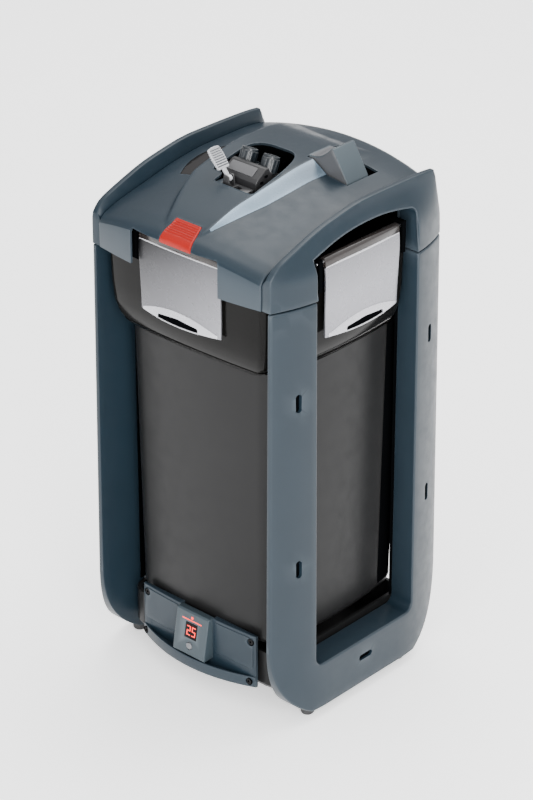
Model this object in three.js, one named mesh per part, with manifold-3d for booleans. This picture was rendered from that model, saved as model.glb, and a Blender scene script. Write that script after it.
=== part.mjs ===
// Large heated canister filter for an aquarium: a translucent canister standing between two side
// frames, a pump head held down by four latches, and a control panel at the foot.
// Millimetres, +Z up, front towards -Y, origin on the floor under the middle of the canister.
import * as THREE from 'three';
import { mergeVertices } from 'three/addons/utils/BufferGeometryUtils.js';
import Module from 'manifold-3d';

const wasm = await Module();
wasm.setup();

// ---------------------------------------------------------------- driving dimensions
const GAP = 0.4;                 // running gap between neighbouring pieces
const HALF_WIDTH = 170;          // half width of the side frames at their top
const SPLAY = 4;                 // the side frames grow by this much on each side towards the floor
const HALF_DEPTH = 172;          // middle of the head's bowed front and back
const CORNER_X = 150;            // side frames narrow to this at their front and back edges
const CORNER_Y = 158;
const FLAT_Y = 70;               // side frames are flat for this far each way
const FRAME_IN = 136.5;          // inner face of the side frames
const FOOT_H = 14;
const BAR_TOP = 80;              // top of a side frame's bottom bar
const POST_IN = 94;              // half the free span between the posts of a side frame
const SPLIT_Z = 596;             // where the head meets the frames
const HEAD_Z = 597;              // lower edge of the head
const CAN_BOTTOM = 92;
const COLLAR_Z = 491;
const ARCH_Z = 646;              // top of the front and back latch windows in the head
const LATCH_HALF = 69;
const LATCH_PIVOT = { r: 152, z: 637 };
const LATCH_TOP = 631;
const LATCH_LOW = 534;
const WALL = 3;

// ---------------------------------------------------------------- materials
const paint = (color, roughness, metalness = 0) =>
  new THREE.MeshStandardMaterial({ color, roughness, metalness });
const SHELL = paint('#4a5661', 0.55);
const SMOKED = paint('#3c3d3f', 0.25);
const BLACK = paint('#17181a', 0.45);
const SILVER = paint('#b9bac0', 0.35, 0.6);
const ORANGE = paint('#e2402c', 0.45);
const FOAM = paint('#2c6ea8', 0.95);
const WHITE_PAD = paint('#e8e8e2', 0.95);
const GREY_PLASTIC = paint('#8b8b8a', 0.5);
const STEEL = paint('#c8c9cc', 0.25, 1);
const RUBBER = paint('#1b1b1b', 0.9);
const CERAMIC = paint('#e6e0d4', 0.6);
const RED_GLASS = paint('#38090a', 0.1);
const LAMP = paint('#c02020', 0.2);

// ---------------------------------------------------------------- geometry helpers
const part = new THREE.Group();

function toSolid(geometry) {
  const bare = geometry.clone();
  bare.deleteAttribute('normal');
  bare.deleteAttribute('uv');
  const merged = mergeVertices(bare, 1e-4);
  const mesh = new wasm.Mesh({
    numProp: 3,
    vertProperties: Float32Array.from(merged.attributes.position.array),
    triVerts: Uint32Array.from(merged.index.array),
  });
  return new wasm.Manifold(mesh);
}

function toGeometry(solid) {
  const mesh = solid.getMesh();
  const geometry = new THREE.BufferGeometry();
  geometry.setAttribute('position', new THREE.BufferAttribute(mesh.vertProperties, 3));
  geometry.setIndex(new THREE.BufferAttribute(mesh.triVerts, 1));
  geometry.computeVertexNormals();
  return geometry;
}

function add(name, solid, material) {
  const mesh = new THREE.Mesh(toGeometry(solid), material);
  mesh.name = name;
  part.add(mesh);
}

function join(...solids) {
  return solids.reduce((whole, piece) => whole.add(piece));
}

function box(x0, x1, y0, y1, z0, z1) {
  const geometry = new THREE.BoxGeometry(x1 - x0, y1 - y0, z1 - z0);
  geometry.translate((x0 + x1) / 2, (y0 + y1) / 2, (z0 + z1) / 2);
  return toSolid(geometry);
}

function rod(axis, radius, from, to, [a, b], sides = 20) {
  const geometry = new THREE.CylinderGeometry(radius, radius, to - from, sides);
  const middle = (from + to) / 2;
  if (axis === 'z') geometry.rotateX(Math.PI / 2).translate(a, b, middle);
  if (axis === 'y') geometry.translate(a, middle, b);
  if (axis === 'x') geometry.rotateZ(Math.PI / 2).translate(middle, a, b);
  return toSolid(geometry);
}

// Extrudes an outline along an axis: (y, z) along x, (x, z) along y, or (x, y) along z.
function prism(axis, shape, from, to) {
  const settings = { depth: to - from, bevelEnabled: false, curveSegments: 8 };
  const geometry = new THREE.ExtrudeGeometry(shape, settings);
  const place = new THREE.Matrix4();
  const [X, Y, Z] = [[1, 0, 0], [0, 1, 0], [0, 0, 1]].map((v) => new THREE.Vector3(...v));
  if (axis === 'x') place.makeBasis(Y, Z, X).setPosition(from, 0, 0);
  if (axis === 'y') place.makeBasis(X, Z, Y.clone().negate()).setPosition(0, to, 0);
  if (axis === 'z') place.setPosition(0, 0, from);
  return toSolid(geometry.applyMatrix4(place));
}

function polygon(points) {
  return new THREE.Shape(points.map(([u, v]) => new THREE.Vector2(u, v)));
}

// Skins a row of rings, each { at, ring: [[u, v], ...] }, and closes both ends.
function loft(sections, place) {
  const count = sections[0].ring.length;
  const positions = [];
  sections.forEach(({ at, ring }) => ring.forEach(([u, v]) => positions.push(...place(u, v, at))));
  const index = [];
  for (let s = 0; s + 1 < sections.length; s += 1) {
    for (let i = 0; i < count; i += 1) {
      const [a, b] = [s * count + i, s * count + ((i + 1) % count)];
      index.push(a, b, b + count, a, b + count, a + count);
    }
  }
  const cap = (start, ring, flip) => {
    const outline = ring.map(([u, v]) => new THREE.Vector2(u, v));
    const reversed = THREE.ShapeUtils.isClockWise(outline) !== flip;
    THREE.ShapeUtils.triangulateShape(outline, []).forEach(([a, b, c]) => {
      const corners = reversed ? [c, b, a] : [a, b, c];
      index.push(...corners.map((corner) => start + corner));
    });
  };
  cap(0, sections[0].ring, true);
  cap((sections.length - 1) * count, sections.at(-1).ring, false);
  const geometry = new THREE.BufferGeometry();
  geometry.setAttribute('position', new THREE.Float32BufferAttribute(positions, 3));
  geometry.setIndex(signedVolume(positions, index) < 0 ? index.toReversed() : index);
  return toSolid(geometry);
}

function signedVolume(positions, index) {
  const at = (i) => new THREE.Vector3().fromArray(positions, 3 * i);
  let sum = 0;
  for (let i = 0; i < index.length; i += 3) {
    sum += at(index[i]).dot(at(index[i + 1]).cross(at(index[i + 2])));
  }
  return sum;
}
const upright = (u, v, at) => [u, v, at];
const alongX = (u, v, at) => [at, u, v];
const alongY = (u, v, at) => [u, at, v];

// A rounded rectangle whose faces bow outwards by a little: by bowX towards X and by bowY towards Y.
function roundedRing(halfX, halfY, radius, bowX, arcSteps = 4, faceSteps = 4, bowY = bowX) {
  const points = [];
  for (let corner = 0; corner < 4; corner += 1) {
    const turn = (corner * Math.PI) / 2;
    const [long, wide, bow] = corner % 2 ? [halfY, halfX, bowY] : [halfX, halfY, bowX];
    const put = (u, v) => {
      points.push([u * Math.cos(turn) - v * Math.sin(turn), u * Math.sin(turn) + v * Math.cos(turn)]);
    };
    const reach = wide - radius;
    for (let i = 1; i < faceSteps; i += 1) {
      const v = reach * ((2 * i) / faceSteps - 1);
      put(long + bow * (1 - (v / reach) ** 2), v);
    }
    for (let i = 0; i <= arcSteps; i += 1) {
      const angle = (i / arcSteps) * (Math.PI / 2);
      put(long - radius + radius * Math.cos(angle), reach + radius * Math.sin(angle));
    }
  }
  return points;
}

// Reads a value off a row of [position, value] pairs, with straight lines between them.
function read(table, position) {
  if (position <= table[0][0]) return table[0][1];
  for (let i = 1; i < table.length; i += 1) {
    const [[p0, v0], [p1, v1]] = [table[i - 1], table[i]];
    if (position <= p1) return v0 + ((v1 - v0) * (position - p0)) / (p1 - p0);
  }
  return table.at(-1)[1];
}

function turned(solid, quarterTurns) {
  return solid.rotate([0, 0, 90 * quarterTurns]);
}

// ---------------------------------------------------------------- side frames and feet
// Half width of the outline at a given distance from the middle plane, front to back.
function frameReach(y) {
  const over = Math.max(0, Math.abs(y) - FLAT_Y) / (CORNER_Y - FLAT_Y);
  return HALF_WIDTH - (HALF_WIDTH - CORNER_X) * over ** 2;
}

function frameProfile() {
  const shape = new THREE.Shape();
  const edgeY = CORNER_Y + SPLAY;
  const [hipY, hipZ] = [edgeY - 1, 44];
  const [soleY, curveTop] = [100, 128];
  shape.moveTo(-edgeY, SPLIT_Z);
  shape.lineTo(-edgeY, curveTop);
  shape.quadraticCurveTo(-hipY, hipZ, -soleY, FOOT_H);
  shape.lineTo(soleY, FOOT_H);
  shape.quadraticCurveTo(hipY, hipZ, edgeY, curveTop);
  shape.lineTo(edgeY, SPLIT_Z);
  shape.lineTo(POST_IN, SPLIT_Z);
  shape.lineTo(POST_IN, BAR_TOP + 12);
  shape.absarc(POST_IN - 12, BAR_TOP + 12, 12, 0, -Math.PI / 2, true);
  shape.absarc(12 - POST_IN, BAR_TOP + 12, 12, -Math.PI / 2, -Math.PI, true);
  shape.lineTo(-POST_IN, SPLIT_Z);
  return shape;
}

function stadium(y, z, long, wide, upwards) {
  const shape = new THREE.Shape();
  const run = (long - wide) / 2;
  const [dy, dz] = upwards ? [0, run] : [run, 0];
  const start = upwards ? 0 : -Math.PI / 2;
  shape.absarc(y + dy, z + dz, wide / 2, start, start + Math.PI);
  shape.absarc(y - dy, z - dz, wide / 2, start + Math.PI, start + 2 * Math.PI);
  return shape;
}

function sideFrame() {
  const stations = [-CORNER_Y, -146, -132, -115, -94, -FLAT_Y, FLAT_Y, 94, 115, 132, 146, CORNER_Y];
  const plan = (splay) => [
    ...stations.map((y) => [frameReach(y) + splay, y * (1 + splay / CORNER_Y)]),
    [CORNER_X - 5, CORNER_Y], [FRAME_IN, 106], [FRAME_IN, -106], [CORNER_X - 5, -CORNER_Y]];
  const post = loft([{ at: 0, ring: plan(SPLAY) }, { at: SPLIT_Z, ring: plan(0) }], upright);
  let frame = post.intersect(prism('x', frameProfile(), 100, 200));
  const slots = [[-122.5, 469, 1], [-122.5, 235, 1], [127, 472, 1], [127, 242, 1], [0, 54, 0]];
  slots.forEach(([y, z, upwards]) => {
    const mouth = frameReach(y) + SPLAY * (1 - z / SPLIT_Z) - 3.5;
    frame = frame.subtract(prism('x', stadium(y, z, 26, 9, upwards), mouth, 200));
  });
  return frame;
}

const rightFrame = sideFrame();
add('right_frame', rightFrame, SHELL);
add('left_frame', rightFrame.mirror([1, 0, 0]), SHELL);

[['front_left', -1, -1], ['front_right', 1, -1], ['rear_left', -1, 1], ['rear_right', 1, 1]].forEach(
  ([place, sx, sy]) => {
    add(`foot_${place}`, rod('z', 9, 0, FOOT_H - GAP, [sx * 152, sy * 89]), RUBBER);
  },
);

// ---------------------------------------------------------------- base tray
const TRAY_BOTTOM = 34;
const trayRing = (inset) => roundedRing(134 - inset, 123 - inset, 24, 0, 4, 2);
const tray = loft([{ at: TRAY_BOTTOM, ring: trayRing(4) }, { at: TRAY_BOTTOM + 6, ring: trayRing(0) },
  { at: 88, ring: trayRing(0) }], upright);
const trayHollow = loft([{ at: TRAY_BOTTOM + 4, ring: trayRing(8) }, { at: 90, ring: trayRing(4) }],
  upright);
add('base_tray', tray.subtract(trayHollow), SMOKED);

// ---------------------------------------------------------------- canister and collar
const canRings = (inset) => [
  { at: CAN_BOTTOM + inset, ring: roundedRing(112 - inset, 110 - inset, 24, 3) },
  { at: CAN_BOTTOM + 4 + inset * 0.6, ring: roundedRing(119 - inset, 117 - inset, 28, 5) },
  { at: CAN_BOTTOM + 14, ring: roundedRing(123 - inset, 122 - inset, 30, 6) },
  { at: COLLAR_Z - GAP + (inset ? 5 : 0), ring: roundedRing(127 - inset, 128 - inset, 32, 6) },
];
const INSET = 4;
add('canister', loft(canRings(0), upright).subtract(loft(canRings(INSET), upright)), SMOKED);

// Each pair of opposite collar faces is one lobe; the lobes cross to leave room for the posts.
function collarLobe(inset, alongFront) {
  const wide = alongFront ? [112, 124, 131, 135.4] : [72, 84, 89, 92];
  const deep = alongFront ? [137, 144, 149, 151] : [131, 141, 147, 150];
  const heights = [COLLAR_Z, COLLAR_Z + 9, COLLAR_Z + 34, HEAD_Z - GAP];
  return heights.map((z, i) => {
    const [hx, hy] = alongFront ? [wide[i], deep[i]] : [deep[i], wide[i]];
    const at = inset ? z + [-4, 0, 0, 6][i] : z;
    const [bowX, bowY] = alongFront ? [0, 4] : [4, 0];
    return { at, ring: roundedRing(hx - inset, hy - inset, 14, bowX, 3, 4, bowY) };
  });
}
const collarOut = join(loft(collarLobe(0, true), upright), loft(collarLobe(0, false), upright));
const collarIn = join(loft(collarLobe(INSET, true), upright), loft(collarLobe(INSET, false), upright));
const collarRims = [0, 1, 2, 3].map((turns) => {
  const rim = box(-40, 40, -155.2, -149.5, 562, 567);
  return turned(rim, turns);
});
add('canister_collar', join(collarOut.subtract(collarIn), ...collarRims), SMOKED);

// ---------------------------------------------------------------- control panel
const PANEL_WALL = 3.5;
const panelBow = (x) => 1 - (x / 103) ** 2;
const LIP_TOP = 50;
const panelFace = (x, z) => -131 - panelBow(x) * (z < LIP_TOP ? 24 : 5);

// The panel's outline, drawn in by its wall for the hollow behind it, which is open at the back.
function controlPanel(inset) {
  const stations = [-100, -85, -68, -48, -30, -12, 12, 30, 48, 68, 85, 100];
  const back = inset ? -90 : -127;
  const [low, high] = inset ? [TRAY_BOTTOM + 4, 120] : [TRAY_BOTTOM, 111];
  const sections = stations.map((x) => {
    const [lip, plate] = [panelFace(x, low) + inset, panelFace(x, high) + inset];
    return { at: x * (inset ? 1.1 : 1), ring: [[back, low], [lip + 3, low], [lip, low + 4],
      [lip + 1, LIP_TOP - 4 - inset], [lip + 2, LIP_TOP - 1 - inset], [plate, LIP_TOP + 6 - inset],
      [plate, 108], [plate + 2, high], [back, high]] };
  });
  return loft(sections, alongX);
}
const podOutline = polygon([[-126, 52], [-150.5, 49.8], [-152.5, 52], [-142.5, 109], [-140.5, 111],
  [-131.5, 111], [-131.5, 92], [-126, 86]]);
const pod = prism('x', podOutline, -28, 28);
const podRoom = prism('x', podOutline, -28 - GAP, 28 + GAP)
  .add(box(-28 - GAP, 28 + GAP, -160, -116, LIP_TOP, 112));
const WINDOW = { half: 10.5, low: 74, high: 96, deep: -137 };
const BUTTON = { r: 5, z: 64 };
const screwSpots = [[-92, 101], [-92, 43], [92, 101], [92, 43]];
let panel = controlPanel(0).subtract(controlPanel(PANEL_WALL)).subtract(podRoom);
screwSpots.forEach(([x, z], i) => {
  const face = panelFace(x, z);
  panel = panel.subtract(rod('y', 4.5, -170, -110, [x, z], 16));
  add(`panel_screw_${i + 1}`, rod('y', 4, face - 0.4, face + PANEL_WALL, [x, z], 16), BLACK);
});
const windowCut = box(-WINDOW.half, WINDOW.half, -170, WINDOW.deep, WINDOW.low, WINDOW.high);
const glass = box(GAP - WINDOW.half, WINDOW.half - GAP, -143, WINDOW.deep - GAP, WINDOW.low + GAP,
  WINDOW.high - GAP);
const podBody = pod.subtract(windowCut)
  .subtract(rod('y', BUTTON.r + GAP, -170, -140, [0, BUTTON.z], 20))
  .subtract(rod('y', 2.2, -170, -138, [0, 103], 12));
add('control_panel', panel, SHELL);
add('display_pod', podBody, SHELL);
add('display_window', glass, RED_GLASS);
add('set_button', rod('y', BUTTON.r, -151.5, -144.5, [0, BUTTON.z], 20), SILVER);
add('status_led', rod('y', 1.8, -144.2, -138.5, [0, 103], 12), LAMP);

// ---------------------------------------------------------------- inside the canister
const RISER = { x: -84, y: 88, r: 12 };
const riserHole = rod('z', RISER.r + 1.5, 100, 590, [RISER.x, RISER.y], 16);
const BASKET_HALF = 112;

function basketShell(low, high) {
  const outer = (z, inset) => (
    { at: z, ring: roundedRing(110 - inset, BASKET_HALF - inset, 20, 0, 3, 2) });
  const shell = loft([outer(low, 2), outer(high, 0)], upright);
  const hollow = loft([outer(low + 4, 5), outer(high + 1, 3)], upright);
  let basket = shell.subtract(hollow).subtract(riserHole);
  for (let y = -80; y <= 60; y += 28) {
    basket = basket.subtract(box(-60, 85, y, y + 12, low - 1, low + 5));
  }
  return basket;
}

function padSolid(low, high, inset) {
  const ring = roundedRing(110 - inset, BASKET_HALF - inset, 18, 0, 3, 2);
  return loft([{ at: low, ring }, { at: high, ring }], upright).subtract(riserHole);
}

const tiers = [['lower', 124, CERAMIC, 'bio_media'], ['middle', 236, FOAM, 'coarse_pad'],
  ['upper', 348, WHITE_PAD, 'fine_pad']];
tiers.forEach(([tier, low, material, content]) => {
  add(`media_basket_${tier}`, basketShell(low, low + 108), GREY_PLASTIC);
  add(content, padSolid(low + 5, low + 98, 7), material);
});
add('basket_lid', padSolid(458, 462, 4), GREY_PLASTIC);
add('riser_tube', rod('z', RISER.r, 112, 570, [RISER.x, RISER.y], 16)
  .subtract(rod('z', RISER.r - 2, 100, 600, [RISER.x, RISER.y], 16)), GREY_PLASTIC);

const heaterProfile = [];
for (let i = 0; i <= 8; i += 1) {
  const angle = (i / 8) * 2 * Math.PI;
  heaterProfile.push(new THREE.Vector2(80 + 4 * Math.cos(angle), 108 + 4 * Math.sin(angle)));
}
heaterProfile[8] = heaterProfile[0].clone();
const heaterRing = new THREE.LatheGeometry(heaterProfile, 24).rotateX(Math.PI / 2);
add('heater_ring', toSolid(heaterRing), STEEL);
add('temperature_sensor', rod('z', 4, 101, 118, [0, 0], 12), STEEL);

const preHollow = loft([{ at: 504, ring: roundedRing(116, 122, 16, 0, 3, 2) },
  { at: 560, ring: roundedRing(118, 124, 16, 0, 3, 2) }], upright);
const preShell = loft([{ at: 500, ring: roundedRing(119, 125, 18, 0, 3, 2) },
  { at: 556, ring: roundedRing(121, 127, 18, 0, 3, 2) }], upright);
add('prefilter_basket', preShell.subtract(preHollow).subtract(riserHole), GREY_PLASTIC);
const prePad = roundedRing(112, 118, 16, 0, 3, 2);
add('prefilter_pad', loft([{ at: 506, ring: prePad }, { at: 544, ring: prePad }], upright)
  .subtract(riserHole), FOAM);

// ---------------------------------------------------------------- head surface
// Height of the cover along its two long edges, front to back.
const EDGE_LINE = [[-1, 629.5], [-0.985, 634], [-0.95, 639], [-0.9, 642.5], [-0.83, 646.5],
  [-0.46, 659.5], [-0.12, 670], [0.2, 674.7], [0.6, 675], [0.87, 671], [0.93, 666], [0.97, 658],
  [0.99, 648], [1, 636]];
// Ridge height of the raised console, and its two sides.
const RIDGE_LINE = [[-172, 640], [-166, 650], [-152, 661], [-139, 667], [-100, 678.5], [-45, 692],
  [35, 704], [75, 702.5], [100, 699.5], [120, 693.5], [135, 687.5], [150, 679.5], [162, 667], [172, 640]];
const RIDGE_RIGHT_TOP = [[-150, 30], [-139, 33.5], [-97, 32], [-60, 36], [2, 39], [35, 40], [150, 38]];
const RIDGE_RIGHT_FOOT = [[-150, 32], [-137, 36], [-84, 49.5], [-56, 56.3], [-24, 60.3], [10, 61.7],
  [37, 64], [150, 66]];
const RIDGE_LEFT = [[-157, -24], [-140, -31], [-107, -48], [-80, -60], [-54, -68], [40, -72], [150, -76]];

const frontReach = (x) => HALF_DEPTH - 12.3 * (x / FRAME_IN) ** 2;

function coverHeight(x, y) {
  const edge = read(EDGE_LINE, y / frontReach(x));
  const crowned = edge + 18 * (1 - (x / 140) ** 2);
  const [top, foot] = [read(RIDGE_RIGHT_TOP, y), read(RIDGE_RIGHT_FOOT, y)];
  const left = read(RIDGE_LEFT, y);
  const onRight = THREE.MathUtils.clamp((foot - x) / (foot - top), 0, 1);
  const onLeft = THREE.MathUtils.smoothstep(x, left - 8, left);
  const lift = Math.max(0, read(RIDGE_LINE, y) - crowned);
  return crowned + lift * Math.min(onRight, onLeft);
}

const COVER_X = 135.5;
const COVER_STATIONS = [-COVER_X, -120, -100, -84, -76, -68, -50, -25, 0, 20, 32, 40, 48, 56, 64, 80,
  100, 120, COVER_X];
const COVER_STEPS = [-1, -0.985, -0.95, -0.9, -0.83, -0.72, -0.6, -0.46, -0.3, -0.12, 0.04, 0.2, 0.4, 0.6,
  0.75, 0.87, 0.93, 0.97, 0.99, 1];

// The space under the cover's surface, drawn in by the inset.
function underCover(inset, floor) {
  const sections = COVER_STATIONS.map((station) => {
    const x = THREE.MathUtils.clamp(station, inset - COVER_X, COVER_X - inset);
    const reach = frontReach(x);
    const ring = COVER_STEPS.map((step) => [step * (reach - inset), coverHeight(x, step * reach) - inset]);
    return { at: x, ring: [[inset - reach, floor], ...ring, [reach - inset, floor]] };
  });
  return loft(sections, alongX);
}

// ---------------------------------------------------------------- cheeks
const FIN_TOP = [[-160, 638], [-147, 652], [-123.5, 662], [-52, 683], [21, 692], [96, 691], [143, 688],
  [150, 660], [159, 620]];

// The opening over a side latch, whose top follows the roof.
const archway = new THREE.Shape();
archway.moveTo(-POST_IN, 500);
archway.lineTo(-POST_IN, 650.5);
archway.quadraticCurveTo(0, 679, 86, 659);
archway.quadraticCurveTo(POST_IN - 1, 657.5, POST_IN, 650);
archway.lineTo(POST_IN, 500);

function cheek() {
  const stations = [-159, -154, -147, -135, -123, -94, -70, -52, -15, 21, 60, 96, 120, 143, 150, 159];
  const sections = stations.map((y) => {
    const top = read(FIN_TOP, y);
    const edge = read(EDGE_LINE, y / 160);
    const reach = frameReach(Math.min(Math.abs(y), CORNER_Y));
    const tip = CORNER_X - 1.2;
    const crease = Math.min(edge - 0.5, top - 2);
    return { at: y, ring: [[FRAME_IN, HEAD_Z], [reach, HEAD_Z], [reach, Math.min(640, top - 14)],
      [tip + 1, top - 1], [tip - 2, top], [FRAME_IN, crease]] };
  });
  return loft(sections, alongY).subtract(prism('x', archway, 100, 200));
}
const rightCheek = cheek();
add('right_cheek', rightCheek, SHELL);
add('left_cheek', rightCheek.mirror([1, 0, 0]), SHELL);

// ---------------------------------------------------------------- head cover and what sits in it
const pocket = new THREE.Shape();
pocket.moveTo(-50, -58);
pocket.quadraticCurveTo(-50, -64, -44, -64);
pocket.lineTo(29, -65);
pocket.quadraticCurveTo(35, -65, 34.8, -59);
pocket.lineTo(33, -20);
pocket.quadraticCurveTo(30, 39, 0, 39);
pocket.lineTo(-22, 39);
pocket.quadraticCurveTo(-51, 37, -50, 8);
const POCKET_FLOOR = 672;

const primeOutline = (grow) => polygon([[-20.5 - grow, -175], [32 + grow, -175], [22 + grow, -141 + grow],
  [-19.5 - grow, -141 + grow]]);

const windowLens = (grow) => {
  const lens = new THREE.Shape();
  lens.moveTo(-97 - grow * 0.5, -54 - grow);
  lens.quadraticCurveTo(-134 - grow, 12, -86, 41 + grow);
  lens.quadraticCurveTo(-80 + grow, -10, -79 + grow, -52 - grow);
  return lens;
};

const SLOT = { x0: 30, x1: 97, y0: 40, y1: 98 };
let cover = underCover(0, HEAD_Z + 1).subtract(underCover(WALL, HEAD_Z - 10));
const pocketWall = prism('z', pocket, POCKET_FLOOR - 3, 760);
const pocketCup = pocketWall.intersect(underCover(0.01, HEAD_Z));
cover = cover.add(scaleAbout(pocketCup, 1.06, -6, -13).intersect(underCover(0.02, HEAD_Z)));
cover = cover.subtract(prism('z', pocket, POCKET_FLOOR, 760));
cover = cover.subtract(prism('z', primeOutline(0.8), 634, 700));
cover = cover.subtract(prism('z', windowLens(0.5), 660, 720));
cover = cover.subtract(box(SLOT.x0, SLOT.x1, SLOT.y0, SLOT.y1, 660, 740));
[-1, 1].forEach((side) => {
  const [near, far] = side < 0 ? [-190, -150] : [150, 190];
  cover = cover.subtract(box(-73, 73, near, far, 560, ARCH_Z));
  const [inner, outer] = side < 0 ? [-140, -128] : [128, 140];
  cover = cover.subtract(prism('x', archway, inner, outer));
});
function scaleAbout(solid, factor, x, y) {
  return solid.translate([-x, -y, 0]).scale([factor, factor, 1]).translate([x, y, 0]);
}
add('head_cover', cover, SHELL);

const lensPlate = prism('z', windowLens(0), 640, 720);
const LED = [-89, 20];
const ledHole = rod('z', 2.2, 640, 720, LED, 12);
add('indicator_window', lensPlate.intersect(underCover(0.3, HEAD_Z)).subtract(underCover(3, HEAD_Z - 10))
  .subtract(ledHole), SMOKED);
add('indicator_led', rod('z', 1.8, 678, 683, LED, 12), LAMP);

const wedgeOutline = polygon([[31.5, 676], [31.5, 706.5], [38, 706], [46, 707.5], [56, 712.5], [68, 724],
  [71, 724], [95, 684], [95.5, 676]]);
const REGULATOR_BACK = 82;
add('flow_regulator', prism('y', wedgeOutline, SLOT.y0 + 2, REGULATOR_BACK)
  .add(box(34, 94, 30, 110, 674, 677.5)), SHELL);

// ---------------------------------------------------------------- priming button
const primeFace = prism('z', primeOutline(0), 630, 720)
  .intersect(box(-40, 40, -HALF_DEPTH, -100, 600, 720));
const primeTop = underCover(0, HEAD_Z).translate([0, 0, 1.2]);
const primeUnder = underCover(0, HEAD_Z).translate([0, 0, -3]);
const primePlate = join(box(-14, 16, -149, -112, 650, 654), box(-12, 14, -149, -143, 652, 663));
add('priming_button', primeFace.intersect(primeTop).subtract(primeUnder).add(primePlate), ORANGE);

// ---------------------------------------------------------------- head body, pump and motor
function latchEars() {
  const ear = (x0, x1) => box(x0, x1, -158, -138, 600.6, 643);
  return join(ear(-80.5, -74), ear(74, 80.5))
    .subtract(rod('x', 3.4, -90, 90, [-LATCH_PIVOT.r, LATCH_PIVOT.z], 16));
}
const deck = join(box(-131, 131, -140, 140, 600.6, 620), box(-140, 140, -84, 84, 600.6, 620));
let headBody = join(deck, rod('z', 21, 619, 663, [0, 0], 24));
[0, 1, 2, 3].forEach((turns) => {
  headBody = headBody.add(turned(latchEars(), turns));
});
headBody = headBody.subtract(rod('z', 32, 590, 611, [0, 0], 28))
  .subtract(rod('z', 18, 600, 659, [0, 0], 24));
add('head_body', headBody, BLACK);
const gasketRing = (grow) => roundedRing(124 + grow, 128 + grow, 30, 0, 4, 2);
const gasketPlate = (low, high, grow) => loft(
  [{ at: low, ring: gasketRing(grow) }, { at: high, ring: gasketRing(grow) }], upright);
add('head_gasket', gasketPlate(597.4, 600.2, 0).subtract(gasketPlate(590, 610, -5)), RUBBER);

add('pump_chamber_cover', rod('z', 40, 590, 600.2, [0, 0], 28)
  .subtract(rod('z', 30, 594, 601, [0, 0], 28))
  .subtract(rod('z', 10, 589, 595, [16, 0], 16))
  .subtract(rod('z', 5.3, 591.5, 595, [0, 0], 16)), GREY_PLASTIC);
let impeller = join(rod('z', 16.5, 612, 655, [0, 0], 24), rod('z', 27, 607, 610, [0, 0], 28),
  rod('z', 6, 600, 613, [0, 0], 16));
for (let i = 0; i < 6; i += 1) {
  impeller = impeller.add(box(4, 26, -1, 1, 600, 608).rotate([0, 0, 60 * i]));
}
add('impeller', impeller.subtract(rod('z', 2.4, 590, 670, [0, 0], 16)), CERAMIC);
add('impeller_shaft', rod('z', 2, 593, 658, [0, 0], 16), STEEL);
const bushing = (low, high) => rod('z', 5, low, high, [0, 0], 16)
  .subtract(rod('z', 2.2, 580, 670, [0, 0], 16));
add('lower_bushing', bushing(592, 597), RUBBER);
add('upper_bushing', bushing(655.6, 658.6), RUBBER);
add('stator_block', box(-44, 44, -36, 36, 620.6, 662)
  .subtract(rod('z', 21.5, 600, 700, [0, 0], 24)), BLACK);

const springPath = [];
for (let i = 0; i <= 40; i += 1) {
  const angle = (i / 40) * 5 * 2 * Math.PI;
  springPath.push(new THREE.Vector3(6 * Math.cos(angle), 6 * Math.sin(angle), 622 + (i / 40) * 25));
}
const wire = new THREE.Shape().absarc(0, 0, 0.7, 0, 2 * Math.PI);
const springGeometry = new THREE.ExtrudeGeometry(wire, {
  steps: 60, curveSegments: 3, extrudePath: new THREE.CatmullRomCurve3(springPath),
});
add('priming_spring', toSolid(springGeometry).translate([1, -124, 0]), STEEL);

// ---------------------------------------------------------------- hose adapter
const adapterOutline = polygon([[-46, 673], [-46, 693], [-43, 696.5], [-28, 706.5], [-23, 706.5],
  [-20, 700], [-2, 692], [-2, 673]]);
const LEAN = 24;
const unionAt = [['left', -24], ['right', 12]];
function leaning(solid, x) {
  return solid.rotate([-LEAN, 0, 0]).translate([x, -12, 696]);
}
let adapter = prism('x', adapterOutline, -34, 24);
unionAt.forEach(([, x]) => {
  adapter = adapter.subtract(leaning(rod('z', 12, -3, 30, [0, 0], 20), x));
});
const LEVER = { x: -13, z: 693, y0: -64, y1: -50 };
adapter = adapter.add(box(-30, 20, -62, -45.5, 673, 684))
  .add(box(LEVER.x - 6, LEVER.x + 6, LEVER.y0 + 3.5, -45.5, 673, LEVER.z + 5)
    .subtract(box(-30, 20, LEVER.y0 + 5.5, LEVER.y1 - 1.5, 685, 710)))
  .subtract(rod('y', 1.9, -80, -40, [LEVER.x, LEVER.z], 12));
add('hose_adapter', adapter, GREY_PLASTIC);
unionAt.forEach(([side, x]) => {
  const nut = rod('z', 11.5, -2, 20, [0, 0], 20).subtract(rod('z', 8, 2, 30, [0, 0], 20));
  add(`hose_union_${side}`, leaning(nut, x), BLACK);
});
const leverArm = join(rod('y', 4, LEVER.y0 + 6, LEVER.y1 - 2, [0, 0], 16),
  box(-2, 2, LEVER.y0 + 6.4, LEVER.y1 - 2.4, 0, 16), box(-2, 2, -66, -44, 13, 43));
add('adapter_lever', leverArm.subtract(rod('y', 2, -80, -40, [0, 0], 12)).rotate([0, -40, 0])
  .translate([LEVER.x, 0, LEVER.z]), SILVER);
add('lever_pin', rod('y', 1.6, LEVER.y0 + 3.8, -46, [LEVER.x, LEVER.z], 12), STEEL);

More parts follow.
